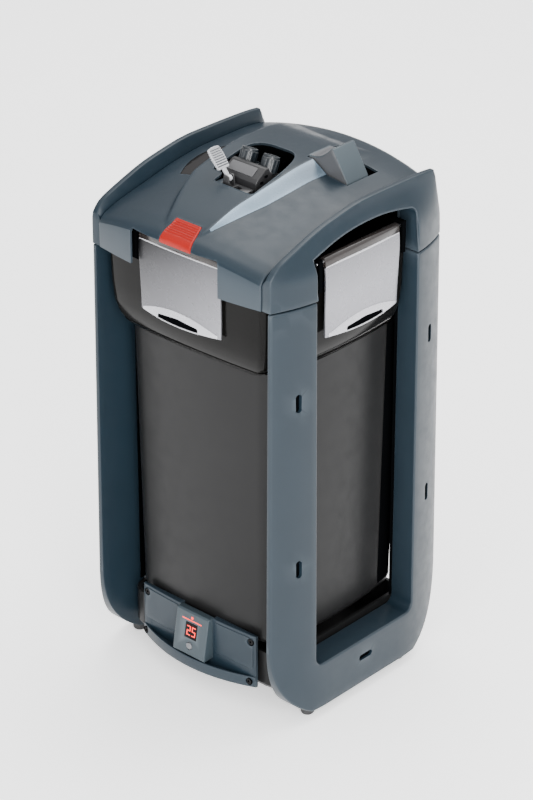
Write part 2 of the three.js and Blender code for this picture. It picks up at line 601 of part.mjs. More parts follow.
// ---------------------------------------------------------------- latches
// The plate's section at its two ends; towards the middle it bows outwards, most of all at the foot.
const LATCH_SECTION = [[-155, 633], [-158, LATCH_TOP], [-159, 612], [-158.2, 585], [-157.2, 556],
  [-157, 545], [-156.8, LATCH_LOW + 1], [-155.8, LATCH_LOW], [-154.4, LATCH_LOW + 1], [-154.2, 545],
  [-154.4, 556], [-155.2, 585], [-155.6, 612], [-152, 631]];
const LATCH_BOW = [[LATCH_LOW, 8.2], [556, 5], [612, 2.5], [LATCH_TOP, 2]];

function latch() {
  const sections = [-1, -0.7, -0.35, 0, 0.35, 0.7, 1].map((share) => ({
    at: share * LATCH_HALF,
    ring: LATCH_SECTION.map(([y, z]) => [y - read(LATCH_BOW, z) * (1 - share ** 2), z]),
  }));
  const catchBar = polygon([[-160, 560], [-155.9, 559], [-155.9, 555], [-160, 552]]);
  return join(loft(sections, alongX), prism('x', catchBar, -30, 30),
    rod('x', 6, -LATCH_HALF, LATCH_HALF, [-LATCH_PIVOT.r, LATCH_PIVOT.z], 16))
    .subtract(rod('x', 3.6, -90, 90, [-LATCH_PIVOT.r, LATCH_PIVOT.z], 16))
    .subtract(box(-34, 34, -175, -150, LATCH_LOW - 2, LATCH_LOW + 6));
}
['front', 'right', 'back', 'left'].forEach((side, turns) => {
  add(`latch_${side}`, turned(latch(), turns), SILVER);
  const pin = rod('x', 3, -80.2, 80.2, [-LATCH_PIVOT.r, LATCH_PIVOT.z], 16);
  add(`latch_pin_${side}`, turned(pin, turns), STEEL);
});

export default part;
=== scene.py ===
"""Looks of the canister filter: fine pieces, materials, floor, light and camera around the CAD frame."""
import math

import bmesh
import bpy
import numpy as np
from mathutils import Matrix, Vector


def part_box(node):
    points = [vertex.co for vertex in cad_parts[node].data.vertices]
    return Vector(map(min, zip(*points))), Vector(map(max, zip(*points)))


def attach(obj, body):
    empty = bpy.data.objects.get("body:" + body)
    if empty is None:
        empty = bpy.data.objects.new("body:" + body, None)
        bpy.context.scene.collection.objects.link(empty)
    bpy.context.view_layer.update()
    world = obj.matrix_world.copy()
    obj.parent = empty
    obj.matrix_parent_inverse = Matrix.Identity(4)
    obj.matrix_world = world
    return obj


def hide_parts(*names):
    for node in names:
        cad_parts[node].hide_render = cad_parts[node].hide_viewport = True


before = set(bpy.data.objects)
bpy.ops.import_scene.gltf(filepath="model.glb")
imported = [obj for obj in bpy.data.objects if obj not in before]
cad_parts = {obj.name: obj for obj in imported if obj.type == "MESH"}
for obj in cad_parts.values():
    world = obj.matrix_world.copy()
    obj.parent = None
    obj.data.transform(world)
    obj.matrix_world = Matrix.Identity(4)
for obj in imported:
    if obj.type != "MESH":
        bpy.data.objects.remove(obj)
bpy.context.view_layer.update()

MM = 0.001
SCENE = bpy.context.scene


def node_mm(name):
    """A CAD node's lowest and highest corners in millimetres."""
    low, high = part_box(name)
    return np.array(low) / MM, np.array(high) / MM


FRAME_LOW, FRAME_HIGH = node_mm("right_frame")
COVER_LOW, COVER_HIGH = node_mm("head_cover")
FRAME_IN, FOOT_H, SPLIT_Z = FRAME_LOW[0], FRAME_LOW[2], FRAME_HIGH[2]
HALF_WIDTH, CORNER_Y, SPLAY = 170, 158, 4
HALF_DEPTH, COVER_X, HEAD_Z = COVER_HIGH[1], COVER_HIGH[0], COVER_LOW[2]
CORNER_X, FLAT_Y, POST_IN, BAR_TOP = 150, 70, 94, 80


# ---- materials
def material(name, color, rough, grain=900, bump=0.12, vary=0.25, metal=0.0, edge_wear_and_highlight=0.25, blotch=9,
             shine=0.5, shade=None, emission=None):
    """A moulded or painted surface: fine grain, slow changes of tone, uneven gloss, and edges painted
    lighter, partly as wear and partly as a painted highlight.

    shade is a gradient of painted light and shade: (direction, range along it, share of the colour at its
    two ends).
    """
    mat = bpy.data.materials.new(name)
    mat.use_nodes = True
    add, link = mat.node_tree.nodes.new, mat.node_tree.links.new
    shader = mat.node_tree.nodes["Principled BSDF"]
    place = add("ShaderNodeTexCoord")

    def noise(scale, detail):
        node = add("ShaderNodeTexNoise")
        node.inputs["Scale"].default_value = scale
        node.inputs["Detail"].default_value = detail
        link(place.outputs["Object"], node.inputs["Vector"])
        return node.outputs["Fac"]

    def ramp(source, low, high, start=0.3, end=0.7):
        node = add("ShaderNodeValToRGB")
        node.color_ramp.elements[0].position = start
        node.color_ramp.elements[1].position = end
        node.color_ramp.elements[0].color = (*low, 1)
        node.color_ramp.elements[1].color = (*high, 1)
        link(source, node.inputs["Fac"])
        return node.outputs["Color"]

    base = np.array(color)
    tone = ramp(noise(blotch, 4), base * (1 - vary * 0.5), base * (1 + vary * 0.5))
    edge = add("ShaderNodeNewGeometry")
    # Convex edges painted lighter: partly wear, partly a painted highlight where the edges catch the light.
    worn_and_lit_edges = ramp(edge.outputs["Pointiness"], (0, 0, 0), (edge_wear_and_highlight, edge_wear_and_highlight, edge_wear_and_highlight), 0.505, 0.56)
    mix = add("ShaderNodeMix")
    mix.data_type = "RGBA"
    mix.inputs["B"].default_value = (*np.minimum(base * 2.2 + 0.06, 0.95), 1)
    link(worn_and_lit_edges, mix.inputs["Factor"])
    # Painted light and shade: the colour is scaled along one direction, darker at one end and lighter at
    # the other.
    if shade:
        slope = add("ShaderNodeVectorMath")
        slope.operation = "DOT_PRODUCT"
        slope.inputs[1].default_value = shade[0]
        link(place.outputs["Object"], slope.inputs[0])
        level = add("ShaderNodeMapRange")
        for key, value in zip(("From Min", "From Max", "To Min", "To Max"), shade[1] + shade[2]):
            level.inputs[key].default_value = value
        link(slope.outputs["Value"], level.inputs["Value"])
        shaded = add("ShaderNodeVectorMath")
        shaded.operation = "SCALE"
        link(tone, shaded.inputs[0])
        link(level.outputs["Result"], shaded.inputs["Scale"])
        tone = shaded.outputs["Vector"]
    link(tone, mix.inputs["A"])
    link(mix.outputs["Result"], shader.inputs["Base Color"])
    gloss = ramp(noise(blotch * 7, 6), (rough * 0.85,) * 3, (min(1, rough * 1.2),) * 3)
    link(gloss, shader.inputs["Roughness"])
    relief = add("ShaderNodeBump")
    relief.inputs["Strength"].default_value = bump
    relief.inputs["Distance"].default_value = 0.0004
    link(noise(grain, 3), relief.inputs["Height"])
    link(relief.outputs["Normal"], shader.inputs["Normal"])
    shader.inputs["Metallic"].default_value = metal
    shader.inputs["Specular IOR Level"].default_value = shine
    if emission:
        shader.inputs["Emission Color"].default_value = (*emission[0], 1)
        shader.inputs["Emission Strength"].default_value = emission[1]
    return mat


SHELL = material("shell_plastic", (0.0078, 0.0155, 0.0228), 0.34, vary=0.14, edge_wear_and_highlight=0.3, shine=0.26)
# Painted highlight: a lighter copy of the shell colour for the console's lit right flank, painted lighter
# towards the front and darker towards the back.
FLANK_HIGHLIGHT = material("console_flank_painted_highlight", (0.09, 0.13, 0.17), 0.28, vary=0.1, metal=0.3,
                 shade=((0.0, -3.0, 0.0), (-0.1, 0.4), (0.7, 1.5)))
CANISTER = material("canister_plastic", (0.0068, 0.0068, 0.007), 0.34, grain=300, bump=0.03, vary=0.12,
                    edge_wear_and_highlight=0.0, shine=0.15)
SMOKED = material("smoked_plastic", (0.0034, 0.0032, 0.003), 0.16, grain=200, bump=0.02, vary=0.3,
                  edge_wear_and_highlight=0.0, shine=0.08, blotch=14)
LENS = material("lens_plastic", (0.006, 0.005, 0.0045), 0.1, bump=0.01, edge_wear_and_highlight=0.0, shine=0.2)
BARREL = material("barrel_plastic", (0.012, 0.009, 0.008), 0.16, bump=0.02, edge_wear_and_highlight=0.1)
# Black plastic, also used for the dark sheets of painted shade in the frame slots, beside the posts, at the
# canister's rear corners and behind the latch notches.
BLACK_AND_SHADE = material("black_plastic_and_painted_shade", (0.0015, 0.0017, 0.002), 0.5, bump=0.15, edge_wear_and_highlight=0.0, shine=0.0)
SCREW = material("screw_plastic", (0.0015, 0.0015, 0.002), 0.35, bump=0.1, edge_wear_and_highlight=0.1, shine=0.08)
GRIP = material("grip_face", (0.085, 0.088, 0.094), 0.35, vary=0.1, metal=0.3)
# Silver paint with painted shade: darker towards the top and the -x side, lighter towards the bottom and
# the +x side.
SILVER_PAINTED_SHADE = material("silver_paint_with_painted_shade", (0.3, 0.3, 0.325), 0.28, grain=1600, bump=0.06, vary=0.06, edge_wear_and_highlight=0.0,
                  metal=0.6, shade=((3.2, 0.0, -4.5), (-3.0, -2.1), (0.05, 0.85)))
# Painted highlight: a lighter copy of the silver for the latch's foot lip and its edge beads.
LATCH_HIGHLIGHT = material("lip_painted_highlight", (0.42, 0.42, 0.45), 0.28, grain=1600, bump=0.06, vary=0.06, metal=0.5)
ORANGE = material("orange_plastic", (0.24, 0.004, 0.001), 0.42, vary=0.12, edge_wear_and_highlight=0.05, shine=0.25)
ADAPTER = material("adapter_plastic", (0.016, 0.016, 0.017), 0.34, vary=0.15, edge_wear_and_highlight=0.35, shine=0.4)
ADAPTER_BAR = material("adapter_bar", (0.06, 0.06, 0.063), 0.3, vary=0.1)
UNION = material("union_plastic", (0.006, 0.009, 0.012), 0.28, edge_wear_and_highlight=0.2)
LEVER = material("lever_plastic", (0.3, 0.305, 0.32), 0.32, vary=0.08, edge_wear_and_highlight=0.3)
GREY = material("grey_plastic", (0.3, 0.31, 0.31), 0.45)
# Painted shade for the grooves of the lever.
GROOVE_SHADE = material("lever_groove_painted_shade", (0.02, 0.024, 0.028), 0.5)
STEEL = material("steel", (0.6, 0.6, 0.62), 0.25, grain=1200, metal=1.0, edge_wear_and_highlight=0.1)
CERAMIC = material("ceramic", (0.72, 0.68, 0.6), 0.7, grain=500, bump=0.4)
RUBBER = material("rubber", (0.014, 0.014, 0.015), 0.75, grain=700, bump=0.3, edge_wear_and_highlight=0.1)
FOAM = material("blue_foam", (0.03, 0.15, 0.4), 0.95, grain=260, bump=1.0, vary=0.5)
WOOL = material("white_wool", (0.8, 0.8, 0.76), 0.95, grain=180, bump=0.9)
POD = material("pod_plastic", (0.028, 0.04, 0.048), 0.34, vary=0.1, edge_wear_and_highlight=0.3, shine=0.3)
DISPLAY = material("display_glass", (0.002, 0.0008, 0.0008), 0.2, bump=0.0, edge_wear_and_highlight=0.0, shine=0.1)
DIGIT = material("digit_glow", (0.8, 0.03, 0.015), 0.3, bump=0.0, edge_wear_and_highlight=0.0,
                 emission=((1, 0.01, 0.003), 1.3))
RED_LAMP = material("red_lamp", (0.9, 0.02, 0.015), 0.2, bump=0.0, edge_wear_and_highlight=0.0,
                    emission=((1, 0.02, 0.01), 0.8))
BLUE_LAMP = material("blue_lamp", (0.05, 0.06, 0.9), 0.2, bump=0.0, edge_wear_and_highlight=0.0,
                     emission=((0.1, 0.12, 1), 1.5))


# ---- mesh helpers
def linked(name, data):
    obj = bpy.data.objects.new(name, data)
    SCENE.collection.objects.link(obj)
    return obj


def to_object(name, bm):
    """Turns a bmesh in metres into an object."""
    bmesh.ops.recalc_face_normals(bm, faces=bm.faces)
    mesh = bpy.data.meshes.new(name)
    bm.to_mesh(mesh)
    bm.free()
    return linked(name, mesh)


def bake(obj):
    """Replaces the object's mesh by its modified mesh."""
    graph = bpy.context.evaluated_depsgraph_get()
    graph.update()
    done = bpy.data.meshes.new_from_object(obj.evaluated_get(graph))
    obj.modifiers.clear()
    obj.data = done


def carve(obj, *cutters):
    """Cuts the cutters out of the object, one after another, and deletes them."""
    for cutter in cutters:
        modifier = obj.modifiers.new("carve", "BOOLEAN")
        modifier.operation = "DIFFERENCE"
        modifier.solver = "MANIFOLD"
        modifier.object = cutter
    bake(obj)
    for cutter in cutters:
        bpy.data.objects.remove(cutter)
    return obj


def soften(obj, width, segments=3, angle=35):
    """Rounds the sharp edges."""
    modifier = obj.modifiers.new("soften", "BEVEL")
    modifier.width = width * MM
    modifier.segments = segments
    modifier.limit_method = "ANGLE"
    modifier.angle_limit = math.radians(angle)
    bake(obj)
    return obj


def finish(obj, mat, body, slot, *nodes, crease=38):
    """Gives a piece its shading, material and body, and hides the CAD nodes it stands for. The slot is not
    used.
    """
    mesh = obj.data
    mesh.materials.clear()
    mesh.materials.append(mat)
    mesh.shade_smooth()
    mesh.set_sharp_from_angle(angle=math.radians(crease))
    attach(obj, body)
    if nodes:
        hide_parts(*nodes)
    return obj


def rect(x0, y0, x1, y1):
    return [(x0, y0), (x1, y0), (x1, y1), (x0, y1)]


def rounded(corners, radii, arc=6, fill=0):
    """A closed outline with its corners rounded; fill points are set along each long straight side."""
    points, count, long_side = [], len(corners), 12
    radii = [radii] * count if np.isscalar(radii) else radii
    for i in range(count):
        here = np.array(corners[i], float)
        before = np.array(corners[i - 1], float) - here
        after = np.array(corners[(i + 1) % count], float) - here
        u, v = before / np.linalg.norm(before), after / np.linalg.norm(after)
        half = math.acos(np.clip(u @ v, -1, 1)) / 2
        if radii[i] <= 0 or half > 1.56:
            points.append(here)
            continue
        reach = min(radii[i] / math.tan(half), 0.48 * np.linalg.norm(before), 0.48 * np.linalg.norm(after))
        radius = reach * math.tan(half)
        middle = here + (u + v) / np.linalg.norm(u + v) * radius / math.sin(half)
        start, end = here + u * reach - middle, here + v * reach - middle
        turn = math.atan2(start[0] * end[1] - start[1] * end[0], start @ end)
        for k in range(arc + 1):
            a = turn * k / arc
            spin = np.array([[math.cos(a), -math.sin(a)], [math.sin(a), math.cos(a)]])
            points.append(middle + spin @ start)
    if not fill:
        return [tuple(p) for p in points]
    filled = []
    for i, here in enumerate(points):
        after = points[(i + 1) % len(points)]
        filled.append(tuple(here))
        if np.linalg.norm(after - here) > long_side:
            filled += [tuple(here + (after - here) * k / (fill + 1)) for k in range(1, fill + 1)]
    return filled


def area(loop):
    """The outline's area, positive if it runs anticlockwise."""
    p = np.array(loop)
    q = np.roll(p, -1, 0)
    return float(np.sum(p[:, 0] * q[:, 1] - q[:, 0] * p[:, 1])) / 2


def inset(loop, distance):
    """The outline moved inwards by a distance, for an outline that runs anticlockwise."""
    p = np.array(loop, float)
    back, ahead = p - np.roll(p, 1, 0), np.roll(p, -1, 0) - p
    normals = []
    for side in (back, ahead):
        side = side / np.linalg.norm(side, axis=1, keepdims=True)
        normals.append(np.stack([-side[:, 1], side[:, 0]], 1))
    mean = normals[0] + normals[1]
    mean /= np.linalg.norm(mean, axis=1, keepdims=True)
    stretch = 1 / np.maximum(0.35, np.sum(mean * normals[0], 1))
    return p + mean * distance * stretch[:, None]


def bridge(bm, levels):
    """Joins each ring to the next with quads."""
    count = len(levels[0])
    for low, high in zip(levels, levels[1:]):
        for i in range(count):
            j = (i + 1) % count
            bm.faces.new((low[i], low[j], high[j], high[i]))


def slab(name, outline, thick, warp, front=1.5, back=0.5, spacing=None, steps=4):
    """A plate with an outline in (u, v) and rounded rims, bent by warp(u, v, w), w from 0 to thick."""
    loop = outline if area(outline) > 0 else outline[::-1]
    rings = []
    for k in range(steps + 1):
        a = math.pi / 2 * k / steps
        rings.append((back * (1 - math.sin(a)), back * (1 - math.cos(a))))
    for k in range(steps + 1):
        a = math.pi / 2 * (1 - k / steps)
        rings.append((front * (1 - math.sin(a)), thick - front * (1 - math.cos(a))))
    bm = bmesh.new()
    levels = []
    for offset, w in rings:
        ring = inset(loop, offset) if offset > 1e-6 else np.array(loop, float)
        levels.append([bm.verts.new((u, v, w)) for u, v in ring])
    bridge(bm, levels)
    bm.faces.new(levels[0][::-1])
    bm.faces.new(levels[-1])
    bmesh.ops.remove_doubles(bm, verts=bm.verts, dist=1e-5)
    if spacing:
        p = np.array(loop)
        for axis in (0, 1):
            normal = (1, 0, 0) if axis == 0 else (0, 1, 0)
            for at in np.arange(p[:, axis].min() + spacing, p[:, axis].max() - 0.3 * spacing, spacing):
                point = (at, 0, 0) if axis == 0 else (0, at, 0)
                geometry = bm.verts[:] + bm.edges[:] + bm.faces[:]
                bmesh.ops.bisect_plane(bm, geom=geometry, dist=1e-5, plane_co=point, plane_no=normal)
    bmesh.ops.triangulate(bm, faces=[f for f in bm.faces if len(f.verts) > 4])
    for vert in bm.verts:
        vert.co = Vector(warp(*vert.co)) * MM
    return to_object(name, bm)


def loft(name, rings, caps=True):
    """Skins a row of closed rings of 3-D points in millimetres."""
    bm = bmesh.new()
    levels = [[bm.verts.new(Vector(p) * MM) for p in ring] for ring in rings]
    bridge(bm, levels)
    if caps:
        bm.faces.new(levels[0][::-1])
        bm.faces.new(levels[-1])
    return to_object(name, bm)


def prism(name, axis, outline, low, high):
    """A plain extrusion: (y, z) along x, (x, z) along y or (x, y) along z."""
    place = {"x": lambda u, v, w: (w, u, v), "y": lambda u, v, w: (u, w, v), "z": lambda u, v, w: (u, v, w)}
    return loft(name, [[place[axis](u, v, w) for u, v in outline] for w in (low, high)])


def block(name, low, high):
    return prism(name, "z", rect(*low[:2], *high[:2]), low[2], high[2])


def turned(name, profile, sides=48, centre=(0, 0), flutes=0, depth=0.0):
    """A turned piece about a vertical axis; profile rows are (radius, height, share of the fluting)."""
    rings = []
    for radius, z, share in profile:
        ring = []
        for k in range(sides):
            a = 2 * math.pi * k / sides
            r = radius - share * depth * (0.5 - 0.5 * math.cos(flutes * a))
            ring.append((centre[0] + r * math.cos(a), centre[1] + r * math.sin(a), z))
        rings.append(ring)
    return loft(name, rings)


def rod(name, radius, start, end, sides=32, rim=0.4):
    """A round bar with softened ends, from start to end."""
    start, end = Vector(start), Vector(end)
    length = (end - start).length
    obj = turned(name, [(radius - rim, 0, 0), (radius, rim, 0), (radius, length - rim, 0),
                        (radius - rim, length, 0)], sides)
    spin = Vector((0, 0, 1)).rotation_difference(end - start).to_matrix().to_4x4()
    obj.data.transform(Matrix.Translation(start * MM) @ spin)
    return obj


def moved(obj, matrix):
    obj.data.transform(matrix)
    return obj


def quarter(turns):
    return Matrix.Rotation(math.pi / 2 * turns, 4, "Z")


def read(table, at):
    """Reads a smooth curve through a table of (position, value) rows without overshoot."""
    xs, ys = np.array(table, float).T
    slope = np.diff(ys) / np.diff(xs)
    tangent = np.zeros_like(ys)
    for i in range(1, len(xs) - 1):
        if slope[i - 1] * slope[i] > 0:
            tangent[i] = 2 * slope[i - 1] * slope[i] / (slope[i - 1] + slope[i])
    tangent[0], tangent[-1] = slope[0], slope[-1]
    at = np.clip(at, xs[0], xs[-1])
    i = min(len(xs) - 2, max(0, int(np.searchsorted(xs, at)) - 1))
    width = xs[i + 1] - xs[i]
    t = (at - xs[i]) / width
    a, b = 2 * t**3 - 3 * t**2 + 1, t**3 - 2 * t**2 + t
    c, d = -2 * t**3 + 3 * t**2, t**3 - t**2
    return a * ys[i] + b * width * tangent[i] + c * ys[i + 1] + d * width * tangent[i + 1]


def smoothstep(x, low, high):
    t = min(1.0, max(0.0, (x - low) / (high - low)))
    return t * t * (3 - 2 * t)


# ---- side frames
def frame_reach(y):
    """Half width of the side frames and cheeks at a distance y from the middle."""
    over = max(0.0, abs(y) - FLAT_Y) / (CORNER_Y - FLAT_Y)
    return HALF_WIDTH - (HALF_WIDTH - CORNER_X) * over**2


def bezier(a, b, c, count):
    """Points on the curve from a to c that heads for b."""
    a, b, c = (np.array(p, float) for p in (a, b, c))
    return [tuple((1 - t) ** 2 * a + 2 * t * (1 - t) * b + t**2 * c) for t in np.linspace(0, 1, count)]


def splay(z):
    """How far the side frames stand out at a height, beyond their size at the top."""
    return SPLAY * (1 - z / SPLIT_Z)


def frame_outline():
    """A side frame in (y, z): curved outer corners, a level foot bar and an open top."""
    edge, curve_top = CORNER_Y + SPLAY, 126
    left = bezier((-CORNER_Y - splay(curve_top), curve_top), (-edge + 1, 44), (-100, FOOT_H), 28)
    right = [(-y, z) for y, z in left[::-1]]
    r, tip = 12, 1.2
    bend = [math.pi / 2 * k / 8 for k in range(9)]
    opening = [(POST_IN - r + r * math.cos(a), BAR_TOP + r - r * math.sin(a)) for a in bend]
    opening = [(POST_IN, SPLIT_Z - tip)] + opening
    top = [(CORNER_Y, SPLIT_Z - tip), (CORNER_Y - tip, SPLIT_Z), (POST_IN + tip, SPLIT_Z)]
    half = top + opening
    return left + right + half + [(-y, z) for y, z in half[::-1]]


def side_warp(side, inner_at, outer_at, thick):
    """Bends a flat slab of a frame or cheek to the bowed side; w runs from the inner to the outer face."""
    def warp(y, z, w):
        x = outer_at(y, z) - (thick - w) if w > thick / 2 else inner_at(y, z) + w
        return (side * x, y, z)
    return warp


def frame_outer(y, z):
    return frame_reach(y / (1 + splay(z) / CORNER_Y)) + splay(z)


def frame_inner(y, z):
    return FRAME_IN + 8.5 * max(0.0, abs(y) - 106) / 52


def stadium(y, z, long, wide, upright):
    """A slot's outline with round ends."""
    run, r = (long - wide) / 2, wide / 2
    points = []
    for k in range(20):
        a = 2 * math.pi * k / 20
        shift = run if math.sin(a) >= 0 else -run
        u, v = r * math.cos(a), r * math.sin(a) + shift
        points.append((y + u, z + v) if upright else (y + v, z + u))
    return points


SLOTS = [(-122.5, 469, True), (-122.5, 235, True), (127, 472, True), (127, 242, True), (0, 54, False)]


def side_frame(side, name):
    """One frame with its clip slots, dark sheets of painted shade at the slots' floors, and dark strips of
    painted shade behind its posts.
    """
    obj = slab(f"{name}_frame_shell", frame_outline(), 12, side_warp(side, frame_inner, frame_outer, 12),
               front=2.6, back=0.9, spacing=14, steps=5)
    cutters = []
    for i, (y, z, upright) in enumerate(SLOTS):
        near, far = sorted((side * (frame_outer(y, z) - 4), side * 190))
        cutters.append(prism(f"slot_cut_{i}", "x", stadium(y, z, 25, 8.5, upright), near, far))
    carve(obj, *cutters)
    finish(obj, SHELL, "base", "shell", f"{name}_frame")
    # Painted shade: a dark sheet at the floor of each slot, so the shallow slots look deep and shaded.
    for i, (y, z, upright) in enumerate(SLOTS):
        floor = side * (frame_outer(y, z) - 3.9)
        low, high = sorted((floor, floor + side * 0.5))
        slot_painted_shade = prism(f"{name}_slot_{i + 1}", "x", stadium(y, z, 24.6, 8.1, upright), low, high)
        finish(slot_painted_shade, BLACK_AND_SHADE, "base", "black")
    # Painted shade: dark strips on the posts' inner faces beside the opening, where they lie in shade.
    x0, x1 = sorted((side * 135.2, side * 136.4))
    for end, y0, y1 in (("front", -101, -90), ("back", 90, 101)):
        finish(block(f"{name}_painted_post_shade_{end}", (x0, y0, 90), (x1, y1, 590)), BLACK_AND_SHADE, "base", "black")


side_frame(1, "right")
side_frame(-1, "left")

for foot in ("front_left", "front_right", "rear_left", "rear_right"):
    low, high = node_mm(f"foot_{foot}")
    centre = (low + high)[:2] / 2
    r = (high - low)[0] / 2
    pad = turned(f"foot_{foot}_pad", [(r - 2.4, 0, 0), (r - 1, 0.3, 0), (r - 0.2, 1.6, 0), (r, 4, 0),
                                      (r, high[2], 0)], 40, centre)
    finish(pad, RUBBER, "base", "rubber", f"foot_{foot}")


# ---- canister and collar
def ring_at(half_x, half_y, radius, bow, z, arc=10, face=14):
    """A rounded rectangle with bowed faces, as a ring of points at one height."""
    points = []
    for corner in range(4):
        turn = corner * math.pi / 2
        long, wide = (half_y, half_x) if corner % 2 else (half_x, half_y)
        reach = wide - radius
        local = []
        for i in range(1, face):
            v = reach * (2 * i / face - 1)
            local.append((long + bow * (1 - (v / reach) ** 2), v))
        for i in range(arc + 1):
            a = i / arc * math.pi / 2
            local.append((long - radius + radius * math.cos(a), reach + radius * math.sin(a)))
        for u, v in local:
            points.append((u * math.cos(turn) - v * math.sin(turn),
                           u * math.sin(turn) + v * math.cos(turn), z))
    return points


def canister():
    """The tapered body with its rounded foot, and a dark band of painted shade at two of its corners, which
    turn away from the light.
    """
    low, high = node_mm("canister")
    foot_r = 16
    rows = []
    for k in range(9):
        a = math.pi / 2 * k / 8
        rows.append((low[2] + foot_r * (1 - math.cos(a)), foot_r * (1 - math.sin(a))))
    rows += [(200, 0), (300, 0), (400, 0), (high[2], 0)]

    def skin(wall):
        rings = []
        for z, draw in rows:
            taper = (z - low[2]) / (high[2] - low[2])
            hx, hy = 123 + 4 * taper - draw - wall, 121.5 + 6 * taper - draw - wall
            lift = wall if z < low[2] + foot_r else 0
            rings.append(ring_at(hx, hy, 30 - min(draw, 14) * 0.5 - wall, 6, z + lift))
        return rings
    body = loft("canister_shell", skin(0))
    hollow = skin(3)
    hollow[-1] = [(x, y, z + 4) for x, y, z in hollow[-1]]
    carve(body, loft("canister_hollow", hollow))
    finish(body, CANISTER, "base", "canister", "canister")
    # Painted shade: dark bands over the two rear corners, which turn away from the light.
    for name, first in (("right", 12), ("left", 36)):
        near, far = (skin(wall)[8:] for wall in (0.3, -0.5))
        rings = [inner[first:first + 13] + outer[first:first + 13][::-1] for inner, outer in zip(near, far)]
        finish(loft(f"canister_corner_painted_shade_{name}", rings), BLACK_AND_SHADE, "base", "canister")


def collar():
    """The collar's plan is a cross: a lobe towards each side, with the frame posts in its corners."""
    (_, _, low), (_, _, high) = node_mm("canister_collar")
    table_z = [low, low + 2.5, low + 8, low + 9, low + 10, low + 18, low + 34, low + 60, high]
    front_wide = [110, 113, 120.5, 120, 121.5, 127, 131.5, 134, 135.2]
    front_deep = [135, 137.5, 141, 140, 141.5, 144.5, 147.5, 149, 150]
    side_wide = [70, 73, 80, 79.5, 81, 86, 89.5, 91.5, 92]
    side_deep = [129, 132, 138, 137, 138.5, 142.5, 146, 148, 149]

    def cross(i, wall):
        fw, fd, sw, sd = (t[i] - wall for t in (front_wide, front_deep, side_wide, side_deep))
        corners = [(fw, -sw), (sd, -sw), (sd, sw), (fw, sw), (fw, fd), (-fw, fd), (-fw, sw), (-sd, sw),
                   (-sd, -sw), (-fw, -sw), (-fw, -fd), (fw, -fd)]
        radii = [1.5, 10, 10, 1.5, 13, 13, 1.5, 10, 10, 1.5, 13, 13]
        ring = rounded(corners, radii, arc=6, fill=9)
        out = []
        for x, y in ring:
            if abs(x) > fw + 1 and abs(y) < sw - 9:
                x += math.copysign(4 * (1 - (y / (sw - 9)) ** 2), x)
            if abs(y) > sw + 1 and abs(x) < fw - 12:
                y += math.copysign(4 * (1 - (x / (fw - 12)) ** 2), y)
            out.append((x, y))
        return out
    rings, inner = [], []
    for i, z in enumerate(table_z):
        rings.append([(x, y, z) for x, y in cross(i, 0)])
        inner.append([(x, y, z + (-3 if i == 0 else 5 if i == 8 else 0)) for x, y in cross(i, 4)])
    body = carve(loft("collar_shell", rings), loft("collar_hollow", inner))
    finish(body, SMOKED, "base", "smoked", "canister_collar", crease=30)


canister()
collar()


# ---- head surface
# Heights z of the roof's edge by share of the depth, and of the console's ridge by y; the rest are x by y.
EDGE_LINE = [(-1, 629.5), (-0.985, 634), (-0.95, 639), (-0.9, 642.5), (-0.83, 646.5), (-0.46, 659.5),
             (-0.12, 670), (0.2, 674.7), (0.6, 675), (0.87, 671), (0.93, 666), (0.97, 658), (0.99, 648),
             (1, 636)]
RIDGE_LINE = [(-172, 640), (-166, 650), (-152, 661), (-139, 667), (-100, 678.5), (-45, 692), (35, 704),
              (75, 702.5), (100, 699.5), (120, 693.5), (135, 687.5), (150, 679.5), (162, 667), (172, 640)]
RIDGE_RIGHT_TOP = [(-150, 30), (-139, 33.5), (-97, 32), (-60, 36), (2, 39), (35, 40), (150, 38)]
RIDGE_RIGHT_FOOT = [(-150, 32), (-137, 36), (-84, 49.5), (-56, 56.3), (-24, 60.3), (10, 61.7), (37, 64),
                    (150, 66)]
RIDGE_LEFT = [(-157, -24), (-140, -31), (-107, -48), (-80, -60), (-54, -68), (40, -72), (150, -76)]
GROOVE = [(-166, -18.5), (-151, -29.6), (-140, -35.5), (-107, -53.5), (-78, -67), (-56, -75)]


def front_reach(x):
    """Half depth of the head at x."""
    return HALF_DEPTH - 12.3 * (x / FRAME_IN) ** 2


def cover_height(x, y):
    """Height of the cover's top: a crowned roof, the raised console and the groove to its left."""
    edge = read(EDGE_LINE, y / front_reach(x))
    crowned = edge + 18 * (1 - (x / 140) ** 2)
    top, foot, left = read(RIDGE_RIGHT_TOP, y), read(RIDGE_RIGHT_FOOT, y), read(RIDGE_LEFT, y)
    on_right = min(1.0, max(0.0, (foot - x) / (foot - top)))
    on_left = smoothstep(x, left - 8, left)
    lift = max(0.0, read(RIDGE_LINE, y) - crowned)
    rim = max(0.0, abs(x) - (COVER_X - 1.6))
    fall = 1.6 - math.sqrt(max(0.0, 1.6**2 - rim**2))
    groove = math.exp(-(((x - read(GROOVE, y)) / 1.1) ** 2))
    groove *= smoothstep(y, -166, -158) * smoothstep(-y, 54, 66)
    return crowned + lift * min(on_right, on_left) - fall - groove


